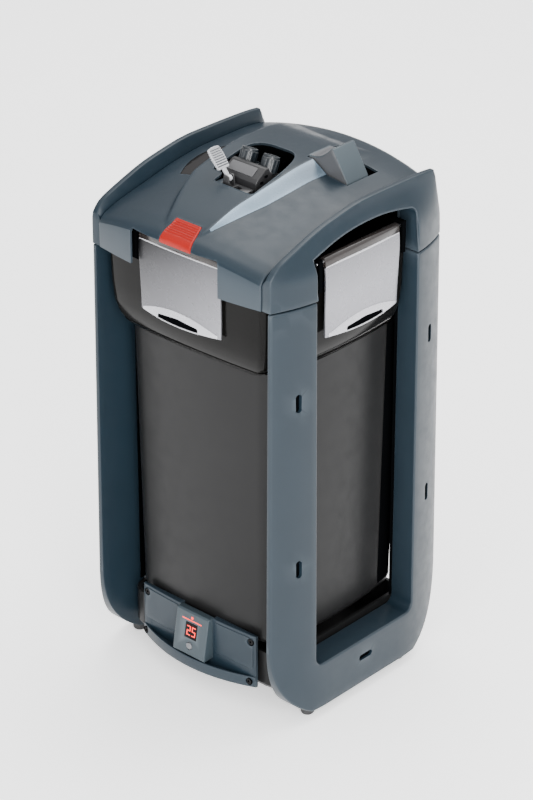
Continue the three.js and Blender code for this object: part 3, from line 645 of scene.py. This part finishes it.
def cover_solid(name, drop, floor):
    """The room under the cover's surface, moved in by drop, down to the floor height."""
    xs = list(np.arange(-134, 134.1, 2.0)) + [drop - COVER_X, COVER_X - drop]
    xs += [] if drop else [-135.2, -134.7, 134.7, 135.2]
    xs = sorted(x for x in set(xs) if abs(x) <= COVER_X - drop)
    ends = 1 - np.array([0, 0.0015, 0.004, 0.008, 0.013, 0.019, 0.026, 0.035, 0.046, 0.06, 0.08])
    steps = sorted(set(np.round(np.concatenate([-ends, ends, np.linspace(-0.9, 0.9, 110)]), 5)))
    rings = []
    for x in xs:
        reach = front_reach(x)
        ring = [(x, -(reach - drop), floor)]
        ring += [(x, s * (reach - drop), cover_height(x, s * reach) - drop) for s in steps]
        ring += [(x, reach - drop, floor)]
        rings.append(ring)
    return loft(name, rings)


POCKET_FLOOR = 673


def pocket_outline(grow=0.0):
    """The opening over the hose adapter, optionally grown."""
    loop = [(-50, -42), (-49.2, -45), (-46, -46), (-34, -46.5), (-31.5, -49), (-31, -61), (-30, -63.4),
            (-27, -64.4)]
    loop += bezier((29, -65), (35, -65), (34.8, -59), 6)
    loop += bezier((33, -20), (30, 39), (0, 39), 22) + bezier((-22, 39), (-51, 37), (-50, 8), 16)
    return grown(loop, grow) if grow else loop


def window_outline(grow):
    """The lens-shaped indicator window."""
    left = bezier((-97 - grow * 0.5, -54 - grow), (-134 - grow, 12), (-86, 41 + grow), 24)
    right = bezier((-86, 41 + grow), (-80 + grow, -10), (-79 + grow, -52 - grow), 14)
    return left + right[1:]


def archway(low):
    """The opening over a side latch, whose top follows the roof."""
    top = bezier((-POST_IN, 650.5), (0, 679), (86, 659), 26)
    top += bezier((86, 659), (93, 657.5), (POST_IN, 650), 7)[1:]
    return [(-POST_IN, low)] + top + [(POST_IN, low)]


PRIME = [(-20.5, -175), (32, -175), (22, -141), (-19.5, -141)]


def grown(outline, amount):
    """The outline moved outwards, or inwards if the amount is negative."""
    loop = outline if area(outline) > 0 else outline[::-1]
    return [tuple(p) for p in inset(loop, -amount)]


def on_cover(outline, lift=0.0):
    """The outline laid on the cover's surface."""
    return [(x, y, cover_height(x, y) + lift) for x, y in outline]


def bead(name, path, radius, closed=True):
    """A round bead along a path of points, such as a soft rim around an opening."""
    curve = bpy.data.curves.new(name, "CURVE")
    curve.dimensions = "3D"
    curve.bevel_depth = radius * MM
    curve.bevel_resolution = 3
    spline = curve.splines.new("POLY")
    spline.points.add(len(path) - 1)
    for point, place in zip(spline.points, path):
        point.co = (*[c * MM for c in place], 1)
    spline.use_cyclic_u = closed
    obj = linked(name, curve)
    mesh = bpy.data.meshes.new_from_object(obj.evaluated_get(bpy.context.evaluated_depsgraph_get()))
    bpy.data.objects.remove(obj)
    return linked(name, mesh)


def head_cover():
    """The hollow cover, open over the adapter, button, window and regulator and at its four latches."""
    cover = cover_solid("head_cover_shell", 0, HEAD_Z)
    low, high, half = 560, 646, 73
    latch_gap = rounded(rect(-half, low, half, high), [0, 0, 4, 4])
    carve(cover, cover_solid("cover_hollow", 3, HEAD_Z - 10),
          prism("pocket_cut", "z", pocket_outline(), POCKET_FLOOR, 760),
          prism("prime_cut", "z", grown(PRIME, 0.7), 634, 720),
          prism("lens_cut", "z", window_outline(0.4), 660, 720),
          block("regulator_cut", (30, 40, 660), (97, 98, 760)),
          prism("front_window", "y", latch_gap, -190, -150),
          prism("back_window", "y", latch_gap, 150, 190),
          prism("right_window", "x", archway(low), 128, 140),
          prism("left_window", "x", archway(low), -140, -128))
    finish(cover, SHELL, "head", "shell", "head_cover", crease=50)
    rim = rounded(pocket_outline(0.3), 0, fill=20)
    finish(bead("pocket_rim", on_cover(rim, -0.35), 0.9), SHELL, "head", "shell")


head_cover()


# ---- cheeks
FIN_TOP = [(-160, 638), (-147, 652), (-123.5, 662), (-52, 683), (21, 692), (96, 691), (143, 688),
           (150, 662), (158, 612)]
FIN_IN, FIN_OUT = 142.4, 149.4


def cheek(side, name):
    """The side of the head, arched over its latch and drawn up and inwards into a fin."""
    top = [(-158.6, 634)] + [(y, read(FIN_TOP, y)) for y in np.linspace(-157.5, 143, 60)]
    top += [(147, 678), (152, 650), (156, 622), (157.6, 604)]
    foot = [(-158.8, HEAD_Z + 0.6), (-158.2, HEAD_Z)] + archway(HEAD_Z)
    outline = foot + [(157, HEAD_Z), (157.8, HEAD_Z + 0.7)] + top[::-1]

    def fin(y, z):
        """How far a point has climbed from the crease to the fin's edge."""
        peak = read(FIN_TOP, y)
        crease = min(read(EDGE_LINE, y / 160) - 0.5, peak - 2)
        return min(1.0, max(0.0, (z - crease) / max(2.0, peak - crease)))

    def outer_at(y, z):
        reach, peak = frame_reach(min(abs(y), CORNER_Y)), read(FIN_TOP, y)
        climb = smoothstep(z, 628, max(640, peak + 6))
        return reach + (FIN_OUT - reach) * climb

    def inner_at(y, z):
        return min(FRAME_IN + (FIN_IN - FRAME_IN) * fin(y, z), outer_at(y, z) - 5)
    warp = side_warp(side, inner_at, outer_at, 5)
    obj = slab(f"{name}_cheek_shell", outline, 5, warp, front=1.6, back=0.8, spacing=7)
    finish(obj, SHELL, "head", "shell", f"{name}_cheek", crease=40)
    edge = [(y, z + 0.2) for y, z in archway(HEAD_Z + 1)]
    edge = [(side * (outer_at(y, z) - 0.5), y, z) for y, z in edge]
    finish(bead(f"{name}_arch_lip", edge, 1.0, closed=False), SHELL, "head", "shell")


cheek(1, "right")
cheek(-1, "left")


# ---- latches
# The latch face's reach at its sides and its added bow in the middle, by height.
LATCH_FACE = [(535, 156.8), (545, 157), (556, 157.2), (585, 158.2), (612, 159), (631, 158)]
LATCH_BOW = [(534, 8.2), (556, 5), (612, 2.5), (631, 2)]
PIN_Y, PIN_Z = -152, 637


def latch(turns, side):
    """A bowed silver plate with painted shade on a dark barrel; a lip at its foot painted lighter as a
    highlight, lighter beads of painted highlight along its top and the notch's foot, and a finger notch
    with a dark sheet of painted shade behind it.
    """
    half, top, notch = 69, 631, 34

    def put(obj, mat, slot, *nodes, body=f"{side}_latch", crease=38):
        finish(moved(obj, quarter(turns)), mat, body, slot, *nodes, crease=crease)

    def face(x, z):
        return -read(LATCH_FACE, z) - read(LATCH_BOW, z) * (1 - (x / half) ** 2)

    def foot(x):
        return 535.5 - 2 * (1 - (x / half) ** 2)
    mouth = rounded([(-notch, foot(notch)), (-notch, 540), (0, 543.5), (notch, 540), (notch, foot(notch))],
                    [1, 3, 60, 3, 1], arc=5)
    lower = [(x, foot(x)) for x in np.linspace(-half + 2, -notch - 3, 8)] + mouth
    lower += [(x, foot(x)) for x in np.linspace(notch + 3, half - 2, 8)]
    outline = rounded([(-half, top)] + lower + [(half, top)], [3] + [0] * len(lower) + [3], arc=5)

    def warp(x, z, w):
        return (x, face(x, z) + (3 - w), z)
    plate = slab(f"latch_{side}_plate", outline, 3, warp, front=0.9, back=0.5, spacing=4)
    put(plate, SILVER_PAINTED_SHADE, "silver", f"latch_{side}", crease=50)
    # Painted highlight: the crescent lip at the plate's foot is painted lighter.
    arc_top = [(x, 537 + 16 * (1 - (x / half) ** 2)) for x in np.linspace(half - 6, 6 - half, 30)]
    crescent = [(x, z + 0.9) for x, z in lower if abs(x) < half - 5] + arc_top
    lip = slab(f"latch_{side}_lip", crescent, 1.2, lambda x, z, w: (x, face(x, z) + 0.4 - w, z), front=0.5,
               back=0.2, spacing=4)
    put(lip, LATCH_HIGHLIGHT, "silver", crease=50)
    # Painted shade: a dark sheet behind the finger notch, standing for the shade inside it.
    reach = notch + 1
    notch_painted_shade = rounded(rect(-reach, 534.5, reach, 544.5), 1)
    back = slab(f"latch_{side}_recess", notch_painted_shade, 0.8, lambda x, z, w: (x, face(x, z) + 2.9 - w, z),
                front=0.2, back=0.1, spacing=6)
    put(back, BLACK_AND_SHADE, "black")
    # Painted highlight: a lighter bead along the notch's foot.
    rim = [(x, face(x, 535) + 1.2, foot(x) + 0.3) for x in np.linspace(-notch, notch, 16)]
    put(bead(f"latch_{side}_foot_rim", rim, 0.8, closed=False), LATCH_HIGHLIGHT, "silver")
    hood = []
    for x in (-half + 0.5, -half + 1.5, half - 1.5, half - 0.5):
        tight = 0.6 if abs(x) > half - 1 else 0.0
        arc = [(PIN_Y - (6 - tight) * math.sin(a), PIN_Z + (6 - tight) * math.cos(a))
               for a in np.linspace(-2.3, 1.5, 20)]
        arc += [(-158.6 + tight, 633), (-158.4 + tight, 631.5), (-157, 630.5), (-153, 631)]
        hood.append([(x, y, z) for y, z in arc])
    put(loft(f"latch_{side}_barrel", hood), BARREL, "black")
    # Painted highlight: a lighter bead along the plate's rolled top edge.
    roll = [(x, face(x, top) + 1.2, top - 0.3) for x in np.linspace(1.5 - half, half - 1.5, 20)]
    put(bead(f"latch_{side}_roll", roll, 1.4, closed=False), LATCH_HIGHLIGHT, "silver")
    pin = rod(f"latch_{side}_pin", 2.6, (-80, PIN_Y, PIN_Z), (80, PIN_Y, PIN_Z))
    put(pin, STEEL, "steel", f"latch_pin_{side}", body="head")


for turns, side in enumerate(("front", "right", "back", "left")):
    latch(turns, side)


# ---- priming button
def priming_button():
    """A ribbed cap that follows the cover, and the tab that hangs in front of it."""
    rows, columns = 60, 30
    grid = []
    for j in range(rows + 1):
        y = -171.6 + 30.2 * j / rows
        t = (y + 175) / 34
        left, right, reach = -20.5 + t, 32 - 10 * t, front_reach(5)
        strip = []
        for i in range(columns + 1):
            s = i / columns
            x = left + (right - left) * s
            edge = min(s, 1 - s) * (right - left)
            across = min(edge, (j / rows) * 30, (1 - j / rows) * 30)
            dip = smoothstep(edge, 2.2, 3.4) * smoothstep(y, -166, -164) * smoothstep(-y, 143.2, 144.8)
            rib = 0.5 + 0.5 * math.cos(2 * math.pi * (y + 165) / 3.3)
            roundness = 1.2 - math.sqrt(max(0.0, 1.2**2 - max(0.0, 1.2 - across) ** 2))
            height = cover_height(x, max(y, -reach)) + 1.6 - roundness - dip * (1.1 - 1.0 * rib)
            strip.append((x, y, height))
        grid.append(strip)
    bm = bmesh.new()
    top = [[bm.verts.new(Vector(p) * MM) for p in strip] for strip in grid]
    low = [[bm.verts.new(Vector((x, y, max(644.6, z - 5))) * MM) for x, y, z in strip] for strip in grid]
    bridge(bm, [upper + lower[::-1] for upper, lower in zip(top, low)])
    for upper, lower in ((top[0], low[0]), (top[-1], low[-1])):
        for i in range(columns):
            bm.faces.new((upper[i], lower[i], lower[i + 1], upper[i + 1]))
    finish(to_object("priming_button_cap", bm), ORANGE, "primer", "orange", "priming_button")
    tab = slab("priming_tab", rounded([(-3, 644.3), (31, 644.3), (32, 647.8), (-4, 647.8)], 1.2), 3,
               lambda x, z, w: (x, -168 - w, z), front=0.8, back=0.4)
    finish(tab, ORANGE, "primer", "orange")


priming_button()


# ---- console: pocket, adapter, regulator, window
def pocket_liner():
    """The dark floor, wall, bosses and ribs of the pocket around the hose adapter."""
    floor = slab("pocket_floor", pocket_outline(-0.2), 1.2, lambda x, y, w: (x, y, POCKET_FLOOR - 0.9 + w),
                 front=0.3, back=0.3)
    finish(floor, BLACK_AND_SHADE, "head", "black")
    wide, close, tight = pocket_outline(1.4), pocket_outline(0.2), pocket_outline(-0.2)
    rings = [[(x, y, POCKET_FLOOR - 0.8) for x, y in wide], on_cover(wide, -1.6), on_cover(close, -1.2),
             [(x, y, POCKET_FLOOR - 0.8) for x, y in tight]]
    finish(loft("pocket_skirt", rings + rings[:1], caps=False), BLACK_AND_SHADE, "head", "black")
    for i, (x, y, r) in enumerate([(-38, 22, 4.5), (18, 22, 4.5), (-42, -8, 3.5), (27, -30, 3.5)]):
        profile = [(r, POCKET_FLOOR, 0), (r, 681, 0), (r - 0.5, 681.6, 0), (r - 1.6, 681.6, 0),
                   (r - 1.8, 680.2, 0), (0.4, 680.2, 0)]
        finish(turned(f"pocket_boss_{i + 1}", profile, 32, (x, y)), UNION, "head", "black")
    for i, (x, y) in enumerate([(-30, 30), (-16, 33), (-2, 33)]):
        rib = block(f"pocket_rib_{i + 1}", (x, y - 4, POCKET_FLOOR), (x + 2, y + 4, 690))
        finish(soften(rib, 0.4, 2), BLACK_AND_SHADE, "head", "black")


pocket_liner()

LEAN = math.radians(24)
LEVER_PIVOT = (-13, 0, 693)


def leaning(x):
    """Places a union nut, made upright at the origin, on the adapter."""
    return Matrix.Translation(Vector((x, -12, 696)) * MM) @ Matrix.Rotation(-LEAN, 4, "X")


def hose_adapter():
    """The adapter's block with two sockets, its top panel, and the base that holds the lever."""
    profile = rounded([(-45.5, 674), (-45.5, 692.5), (-42.5, 696.5), (-27.5, 706.6), (-22.5, 706.6),
                       (-19.5, 700), (-2.5, 692), (-2.5, 674)], [1, 2, 2, 2.4, 2, 1, 1.5, 1], arc=4)

    def warp(y, z, w):
        return (-33.5 + w, y, z)
    body = slab("adapter_block", profile, 57, warp, front=1.6, back=1.6)
    carve(body, *[moved(rod("socket", 12, (0, 0, -3), (0, 0, 30), 48), leaning(x)) for x in (-24, 12)])
    finish(body, ADAPTER, "adapter", "adapter", "hose_adapter")
    panel = slab("adapter_top_panel", rounded(rect(-29, 0, 13, 13.5), 2), 1.2,
                 lambda u, v, w: (u, -41.4 + v * 0.83 - w * 0.55, 697.3 + v * 0.56 + w * 0.83 + 0.1),
                 front=0.5, back=0.2)
    finish(panel, ADAPTER_BAR, "adapter", "adapter")
    for i, (y, z) in enumerate([(-36, 691), (-28, 697), (-36, 683)]):
        low = (23.6, y - 2.6, z - 1.6)
        catch = soften(block(f"adapter_end_catch_{i + 1}", low, (24.6, y + 2.6, z + 1.6)), 0.35, 2)
        finish(catch, BLACK_AND_SHADE, "adapter", "black")
    base = soften(carve(block("adapter_base", (-30, -61.5, 674), (20, -46, 684)),
                        block("base_slot", (-4, -59, 679), (6, -50, 700))), 0.8, 3)
    finish(base, ADAPTER, "adapter", "adapter")
    cap = rounded(rect(-29.8, -61.4, -20, -47), 0.6)
    cap = slab("adapter_base_cap", cap, 2, lambda x, y, w: (x, y, 683.8 + w), front=0.5)
    finish(cap, SHELL, "adapter", "shell")
    dark = block("adapter_slot_floor", (-4.4, -59.4, 678), (6.4, -49.6, 680))
    finish(dark, BLACK_AND_SHADE, "adapter", "black")
    outline = rounded([(-19, 683), (-7, 683), (-9, 698), (-17, 698)], [0.5, 0.5, 3, 3])
    for i, y in enumerate((-59.5, -50.4)):
        ear = slab(f"lever_ear_{i + 1}", outline, 1.8, lambda x, z, w: (x, y - 0.9 + w, z), front=0.4,
                   back=0.4)
        finish(ear, ADAPTER, "adapter", "adapter")
    x, _, z = LEVER_PIVOT
    finish(rod("lever_pin_bar", 1.6, (x, -60.2, z), (x, -49.6, z)), STEEL, "adapter", "steel", "lever_pin")


hose_adapter()


def union(x, side):
    profile = [(10.4, -1.8, 0), (11.3, -1, 0), (11.5, 1.5, 1), (11.5, 15.5, 1), (11.1, 16.2, 0),
               (10.4, 17, 0), (10.4, 19.2, 0), (10, 19.9, 0), (8.4, 19.9, 0), (8, 19.4, 0), (8, 2.6, 0),
               (8, 2, 0)]
    nut = turned(f"hose_union_{side}_nut", profile, 108, flutes=12, depth=0.7)
    finish(moved(nut, leaning(x)), UNION, f"{side}_union", "black", f"hose_union_{side}")


union(-24, "left")
union(12, "right")


def adapter_lever():
    """The ribbed paddle on its neck and hub, made upright about the origin and then tilted."""
    tilt = Matrix.Translation(Vector(LEVER_PIVOT) * MM) @ Matrix.Rotation(math.radians(-40), 4, "Y")
    outline = rounded([(-64.4, 13.2), (-65.8, 30), (-64.5, 42), (-58, 43), (-52, 43), (-45.5, 42),
                       (-44.2, 30), (-45.6, 13.2)], 3, arc=4)

    def warp(y, z, w):
        valley = 0.5 - 0.5 * math.cos(2 * math.pi * (z - 15.5) / 3.3)
        valley *= smoothstep(z, 14.5, 16) * smoothstep(-z, -41.8, -40)
        return (-(w - 2) * (1 - 0.42 * valley), y, z)
    paddle = slab("lever_paddle", outline, 4, warp, front=0.6, back=0.6, spacing=0.65)
    finish(moved(paddle, tilt), LEVER, "lever", "silver", "adapter_lever", crease=60)
    # Painted shade: dark strips set into the paddle's grooves, where shade falls.
    for i in range(8):
        z = 16.5 + 3.1 * i
        for sign in (-1, 1):
            low, high = sorted((sign * 1.35, sign * 2.05))
            groove = soften(block(f"lever_groove_{i + 1}_{'top' if sign < 0 else 'under'}", (low, -63.6, z),
                                  (high, -46.4, z + 1.25)), 0.15, 1)
            finish(moved(groove, tilt), GROOVE_SHADE, "lever", "silver")
    neck = slab("lever_neck", rounded([(-57.4, 1), (-52.6, 1), (-52.2, 17), (-57.8, 17)], 1), 3.6,
                lambda y, z, w: (-(w - 1.8), y, z), front=0.8, back=0.8)
    finish(moved(neck, tilt), LEVER, "lever", "silver")
    x, _, z = LEVER_PIVOT
    finish(rod("lever_hub", 3.9, (x, -57.8, z), (x, -52.2, z)), LEVER, "lever", "silver")


adapter_lever()


def flow_regulator():
    """The wedge-shaped slide, its grip pad and dark face, and the well under its slot."""
    top = node_mm("flow_regulator")[1][2]
    curve = bezier((31.6, 706.3), (50, 702.5), (68, top), 16)
    profile = [(31.6, 678)] + curve + [(71, top), (72, top - 0.8), (95, 685), (95.4, 678)]
    profile = rounded(profile, [0] + [0] * 15 + [0.8, 0.8, 0, 1, 0], arc=3)

    def warp(x, z, w):
        return (x, 42.2 + (39.6 - w), z)
    wedge = slab("flow_regulator_grip", profile, 39.6, warp, front=1.2, back=1.2)
    finish(wedge, POD, "regulator", "shell", "flow_regulator")
    finish(block("flow_regulator_well", (26, 36, 667), (101, 102, 670)), BLACK_AND_SHADE, "head", "black")
    outline = [(27, 669), (101, 669), (101, 682), (80, 685.8), (60, 690.3), (40, 698), (27, 698.5)]
    finish(prism("flow_regulator_well_wall", "y", outline, 99, 101), BLACK_AND_SHADE, "head", "black")
    skirt = block("flow_regulator_skirt", (34, 34, 674), (94, 108, 677.5))
    finish(soften(skirt, 0.4, 2), BLACK_AND_SHADE, "regulator", "black")
    pad = slab("flow_regulator_pad", rect(34, 43.5, 67, 80.5), 0.7,
               lambda x, y, w: (x, y, float(np.interp(x, *np.array(curve).T)) + 0.05 + w),
               front=0.3, back=0.1, spacing=1.5)
    finish(pad, GRIP, "regulator", "silver")
    face = slab("flow_regulator_dark_face", grown(profile, -1), 0.5, lambda x, z, w: (x, 42.3 - w, z),
                front=0.2, back=0.1)
    finish(face, GRIP, "regulator", "shell")


flow_regulator()


def flank_strip():
    """A painted highlight for the lit bevel on the right of the console: a lighter sheet laid just over the
    cover's flank.
    """
    rings = []
    for y in np.linspace(-139, 39, 60):
        top, foot = read(RIDGE_RIGHT_TOP, y), read(RIDGE_RIGHT_FOOT, y)
        row = on_cover([(top + (foot - top) * share, y) for share in np.linspace(0.04, 0.96, 6)], 0.25)
        rings.append(row + [(x, y, z - 0.5) for x, y, z in row[::-1]])
    finish(loft("console_flank_strip", rings), FLANK_HIGHLIGHT, "head", "shell")


flank_strip()

lens = slab("indicator_lens", window_outline(0), 2, lambda x, y, w: (x, y, cover_height(x, y) - 2.1 + w),
            front=0.5, back=0.2, spacing=5)
finish(lens, LENS, "head", "smoked", "indicator_window")
lamp = turned("indicator_lamp", [(1.6, 682, 0), (1.6, 684.6, 0), (1.1, 685, 0), (0.3, 685.1, 0)], 24,
              (-89, 20))
finish(lamp, BLUE_LAMP, "head", "blue_lamp", "indicator_led")


# ---- control panel
PANEL_HALF = 103
SCREWS = [(-92, 101), (-92, 43), (92, 101), (92, 43)]


def panel_bow(x):
    """The share of the panel's bow at x: 1 in the middle and 0 at its ends."""
    return 1 - (x / PANEL_HALF) ** 2


def control_panel():
    """The bowed panel with its projecting lip, two raised fields and four screws in rings."""
    low, high, lip_top = 34, 111, 50
    xs = sorted(set(np.round(np.concatenate([np.linspace(-100, 100, 81), [-99.6, -99, 99, 99.6]]), 3)))

    def ring(x):
        bow = panel_bow(x)
        plate, lip = -130.4 - 5 * bow - 0.6 * smoothstep(99 - abs(x), 0, 1), -131 - 24 * bow
        floor = lip_top - 0.6 - 7.4 * smoothstep(bow, 0.22, 0.34)
        wall = min(lip + 3, plate - 0.4)
        return rounded([(-127, low), (lip, low), (lip + 0.6, lip_top), (wall, lip_top), (wall, floor),
                        (plate, floor), (plate, high), (-127, high)],
                       [0.5, 2.5, 0.8, 0.8, 0.3, 0.3, 1.2, 0.5], arc=4)
    shell = loft("control_panel_shell", [[(x, y, z) for y, z in ring(x)] for x in xs])
    pod = prism("pod_cut", "x", rect(-170, lip_top, -100, 120), -28.6, 28.6)
    carve(shell, pod, *[rod("screw_cut", 4.4, (x, -150, z), (x, -129.4, z)) for x, z in SCREWS])
    finish(shell, SHELL, "base", "shell", "control_panel", crease=30)
    for sx in (-1, 1):
        field = rounded(rect(sx * 33, 62, sx * 96, 107), 3)
        plate = slab(f"panel_field_{'right' if sx > 0 else 'left'}", field, 0.8,
                     lambda x, z, w: (x, -131.2 - 5 * panel_bow(x) - w, z), front=0.4, back=0.1, spacing=6)
        carve(plate, rod("field_screw", 5.6, (sx * 92, -150, 101), (sx * 92, -125, 101)))
        finish(plate, SHELL, "base", "shell")
    for i, (x, z) in enumerate(SCREWS):
        y = node_mm(f"panel_screw_{i + 1}")[0][1]
        screw = rod(f"panel_screw_{i + 1}_head", 4, (x, y, z), (x, y + 3.4, z), 40, 0.5)
        carve(screw, rod("hex", 1.9, (x, y - 2, z), (x, y + 1.6, z), 6, 0.01))
        ring = rod(f"panel_screw_{i + 1}_ring", 5.4, (x, y + 0.1, z), (x, y + 1.4, z), 40, 0.2)
        carve(ring, rod("ring_bore", 4.1, (x, y - 2, z), (x, y + 3, z), 40, 0.01))
        finish(ring, BLACK_AND_SHADE, "base", "black")
        finish(screw, SCREW, "base", "black", f"panel_screw_{i + 1}")


def display_pod():
    """The tilted pod with its lit display, status lamp, line and set key."""
    profile = rounded([(-127, 51), (-150.5, 49.8), (-152.5, 52), (-142.5, 109), (-140.5, 111),
                       (-131.8, 111), (-131.8, 92), (-127, 86)], [0.5, 1.5, 1.5, 1.5, 1, 0.5, 1, 1], arc=4)
    pod = slab("display_pod_shell", profile, 56, lambda y, z, w: (-28 + w, y, z), front=1.3, back=1.3)
    carve(pod, block("window_cut", (-10.5, -170, 74), (10.5, -137, 96)),
          rod("key_cut", 5.4, (0, -170, 64), (0, -140, 64)),
          rod("lamp_cut", 2.1, (0, -170, 103), (0, -138, 103)))
    finish(pod, POD, "base", "shell", "display_pod")
    slope = math.atan2(10, 57)
    tilt = Matrix.Translation(Vector((0, -152.5, 52)) * MM) @ Matrix.Rotation(-slope, 4, "X")

    def on_face(name, outline, depth, proud, mat, slot, *nodes, rim=0.2):
        made = slab(name, outline, depth, lambda u, v, w: (u, -(w - depth + proud), v), front=rim, back=0.1)
        return finish(moved(made, tilt), mat, "base", slot, *nodes)
    glass = rounded(rect(-10.1, 22.2, 10.1, 43.8), 0.8)
    on_face("display_glass", glass, 2.6, -0.5, DISPLAY, "display", "display_window")
    segments = {"a": ((-1, 1), (1, 1)), "b": ((1, 1), (1, 0)), "c": ((1, 0), (1, -1)),
                "d": ((-1, -1), (1, -1)), "e": ((-1, 0), (-1, -1)), "f": ((-1, 1), (-1, 0)),
                "g": ((-1, 0), (1, 0))}
    for digit, lit, centre in (("two", "abged", -4.4), ("five", "afgcd", 4.4)):
        for key in lit:
            (u0, v0), (u1, v1) = segments[key]
            low = (centre + min(u0, u1) * 2.5 - 0.75, 33 + min(v0, v1) * 6 - 0.75)
            high = (centre + max(u0, u1) * 2.5 + 0.75, 33 + max(v0, v1) * 6 + 0.75)
            bar = rounded(rect(*low, *high), 0.6, arc=3)
            on_face(f"digit_{digit}_{key}", bar, 0.4, -0.2, DIGIT, "red_lamp", rim=0.1)
    line = rounded(rect(-17, 47.2, 17, 48.6), 0.4)
    on_face("pod_line", line, 0.4, 0.12, DIGIT, "orange", rim=0.05)
    angles = np.linspace(0, 2 * math.pi, 24, endpoint=False)
    lamp = [(2 * math.cos(a), 52 + 2 * math.sin(a)) for a in angles]
    on_face("status_lamp", lamp, 3, 0.3, RED_LAMP, "red_lamp", "status_led")
    key = rod("set_key_cap", 4.9, (0, -151.5, 64), (0, -144.6, 64), 40, 0.6)
    finish(key, GRIP, "set_key", "silver", "set_button")


control_panel()
display_pod()


# ---- CAD pieces that stay
KEPT = {
    CANISTER: ["base_tray"], BLACK_AND_SHADE: ["head_body", "stator_block"],
    GREY: ["riser_tube", "media_basket_lower", "media_basket_middle", "media_basket_upper", "basket_lid",
           "prefilter_basket", "pump_chamber_cover"],
    STEEL: ["heater_ring", "temperature_sensor", "priming_spring"],
    CERAMIC: ["bio_media", "impeller", "impeller_shaft"],
    FOAM: ["coarse_pad", "prefilter_pad"], WOOL: ["fine_pad"],
    RUBBER: ["head_gasket", "lower_bushing", "upper_bushing"],
}
for mat, names in KEPT.items():
    for name in names:
        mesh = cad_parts[name].data
        mesh.materials.clear()
        mesh.materials.append(mat)


# ---- floor, light and camera
def stage():
    """A pale floor, and a sky that is brighter above and to the right."""
    mesh = bpy.data.meshes.new("floor")
    size = 30
    corners = [(-size, -size, 0), (size, -size, 0), (size, size, 0), (-size, size, 0)]
    mesh.from_pydata(corners, [], [(0, 1, 2, 3)])
    floor = linked("floor", mesh)
    mesh.materials.append(material("floor_paint", (0.93, 0.93, 0.93), 0.6, vary=0.02, bump=0.02, edge_wear_and_highlight=0.0,
                                   emission=((1, 1, 1), 0.8)))
    world = bpy.data.worlds.new("studio")
    SCENE.world = world
    world.use_nodes = True
    add, link = world.node_tree.nodes.new, world.node_tree.links.new
    place = add("ShaderNodeTexCoord")
    rise = add("ShaderNodeVectorMath")
    rise.operation = "DOT_PRODUCT"
    rise.inputs[1].default_value = (0.3, 0.0, 0.9)
    link(place.outputs["Generated"], rise.inputs[0])
    ramp = add("ShaderNodeValToRGB")
    dark, bright = ramp.color_ramp.elements
    dark.position, dark.color = 0.0, (0.22, 0.22, 0.23, 1)
    bright.position, bright.color = 0.85, (1, 1, 1, 1)
    link(rise.outputs["Value"], ramp.inputs["Fac"])
    sky = world.node_tree.nodes["Background"]
    link(ramp.outputs["Color"], sky.inputs["Color"])
    sky.inputs["Strength"].default_value = 2.3


def aimed(name, data, place, target):
    """Puts a light or a camera in place, looking at the target."""
    obj = linked(name, data)
    obj.location = place
    obj.rotation_euler = (Vector(target) - Vector(place)).to_track_quat("-Z", "Y").to_euler()
    return obj


def lamp_at(name, place, target, size, power):
    light = bpy.data.lights.new(name, "AREA")
    light.shape = "RECTANGLE"
    light.size, light.size_y = size
    light.energy = power
    aimed(name, light, place, target)


def camera():
    """A long lens from the front right and above."""
    data = bpy.data.cameras.new("camera")
    data.lens, data.sensor_width = 136.1, 36
    SCENE.camera = aimed("camera", data, (2.3137, -2.537, 2.1971), (-0.011, 0.011, 0.3592))


stage()
lamp_at("key_right", (2.6, -1.7, 1.5), (0, 0, 0.4), (1.0, 2.4), 95)
lamp_at("top_back", (-0.4, 1.4, 3.4), (0, 0, 0.2), (3.2, 2.4), 120)
lamp_at("front_fill", (0.9, -2.7, 0.8), (-0.1, -0.1, 0.3), (1.2, 1.6), 60)
camera()
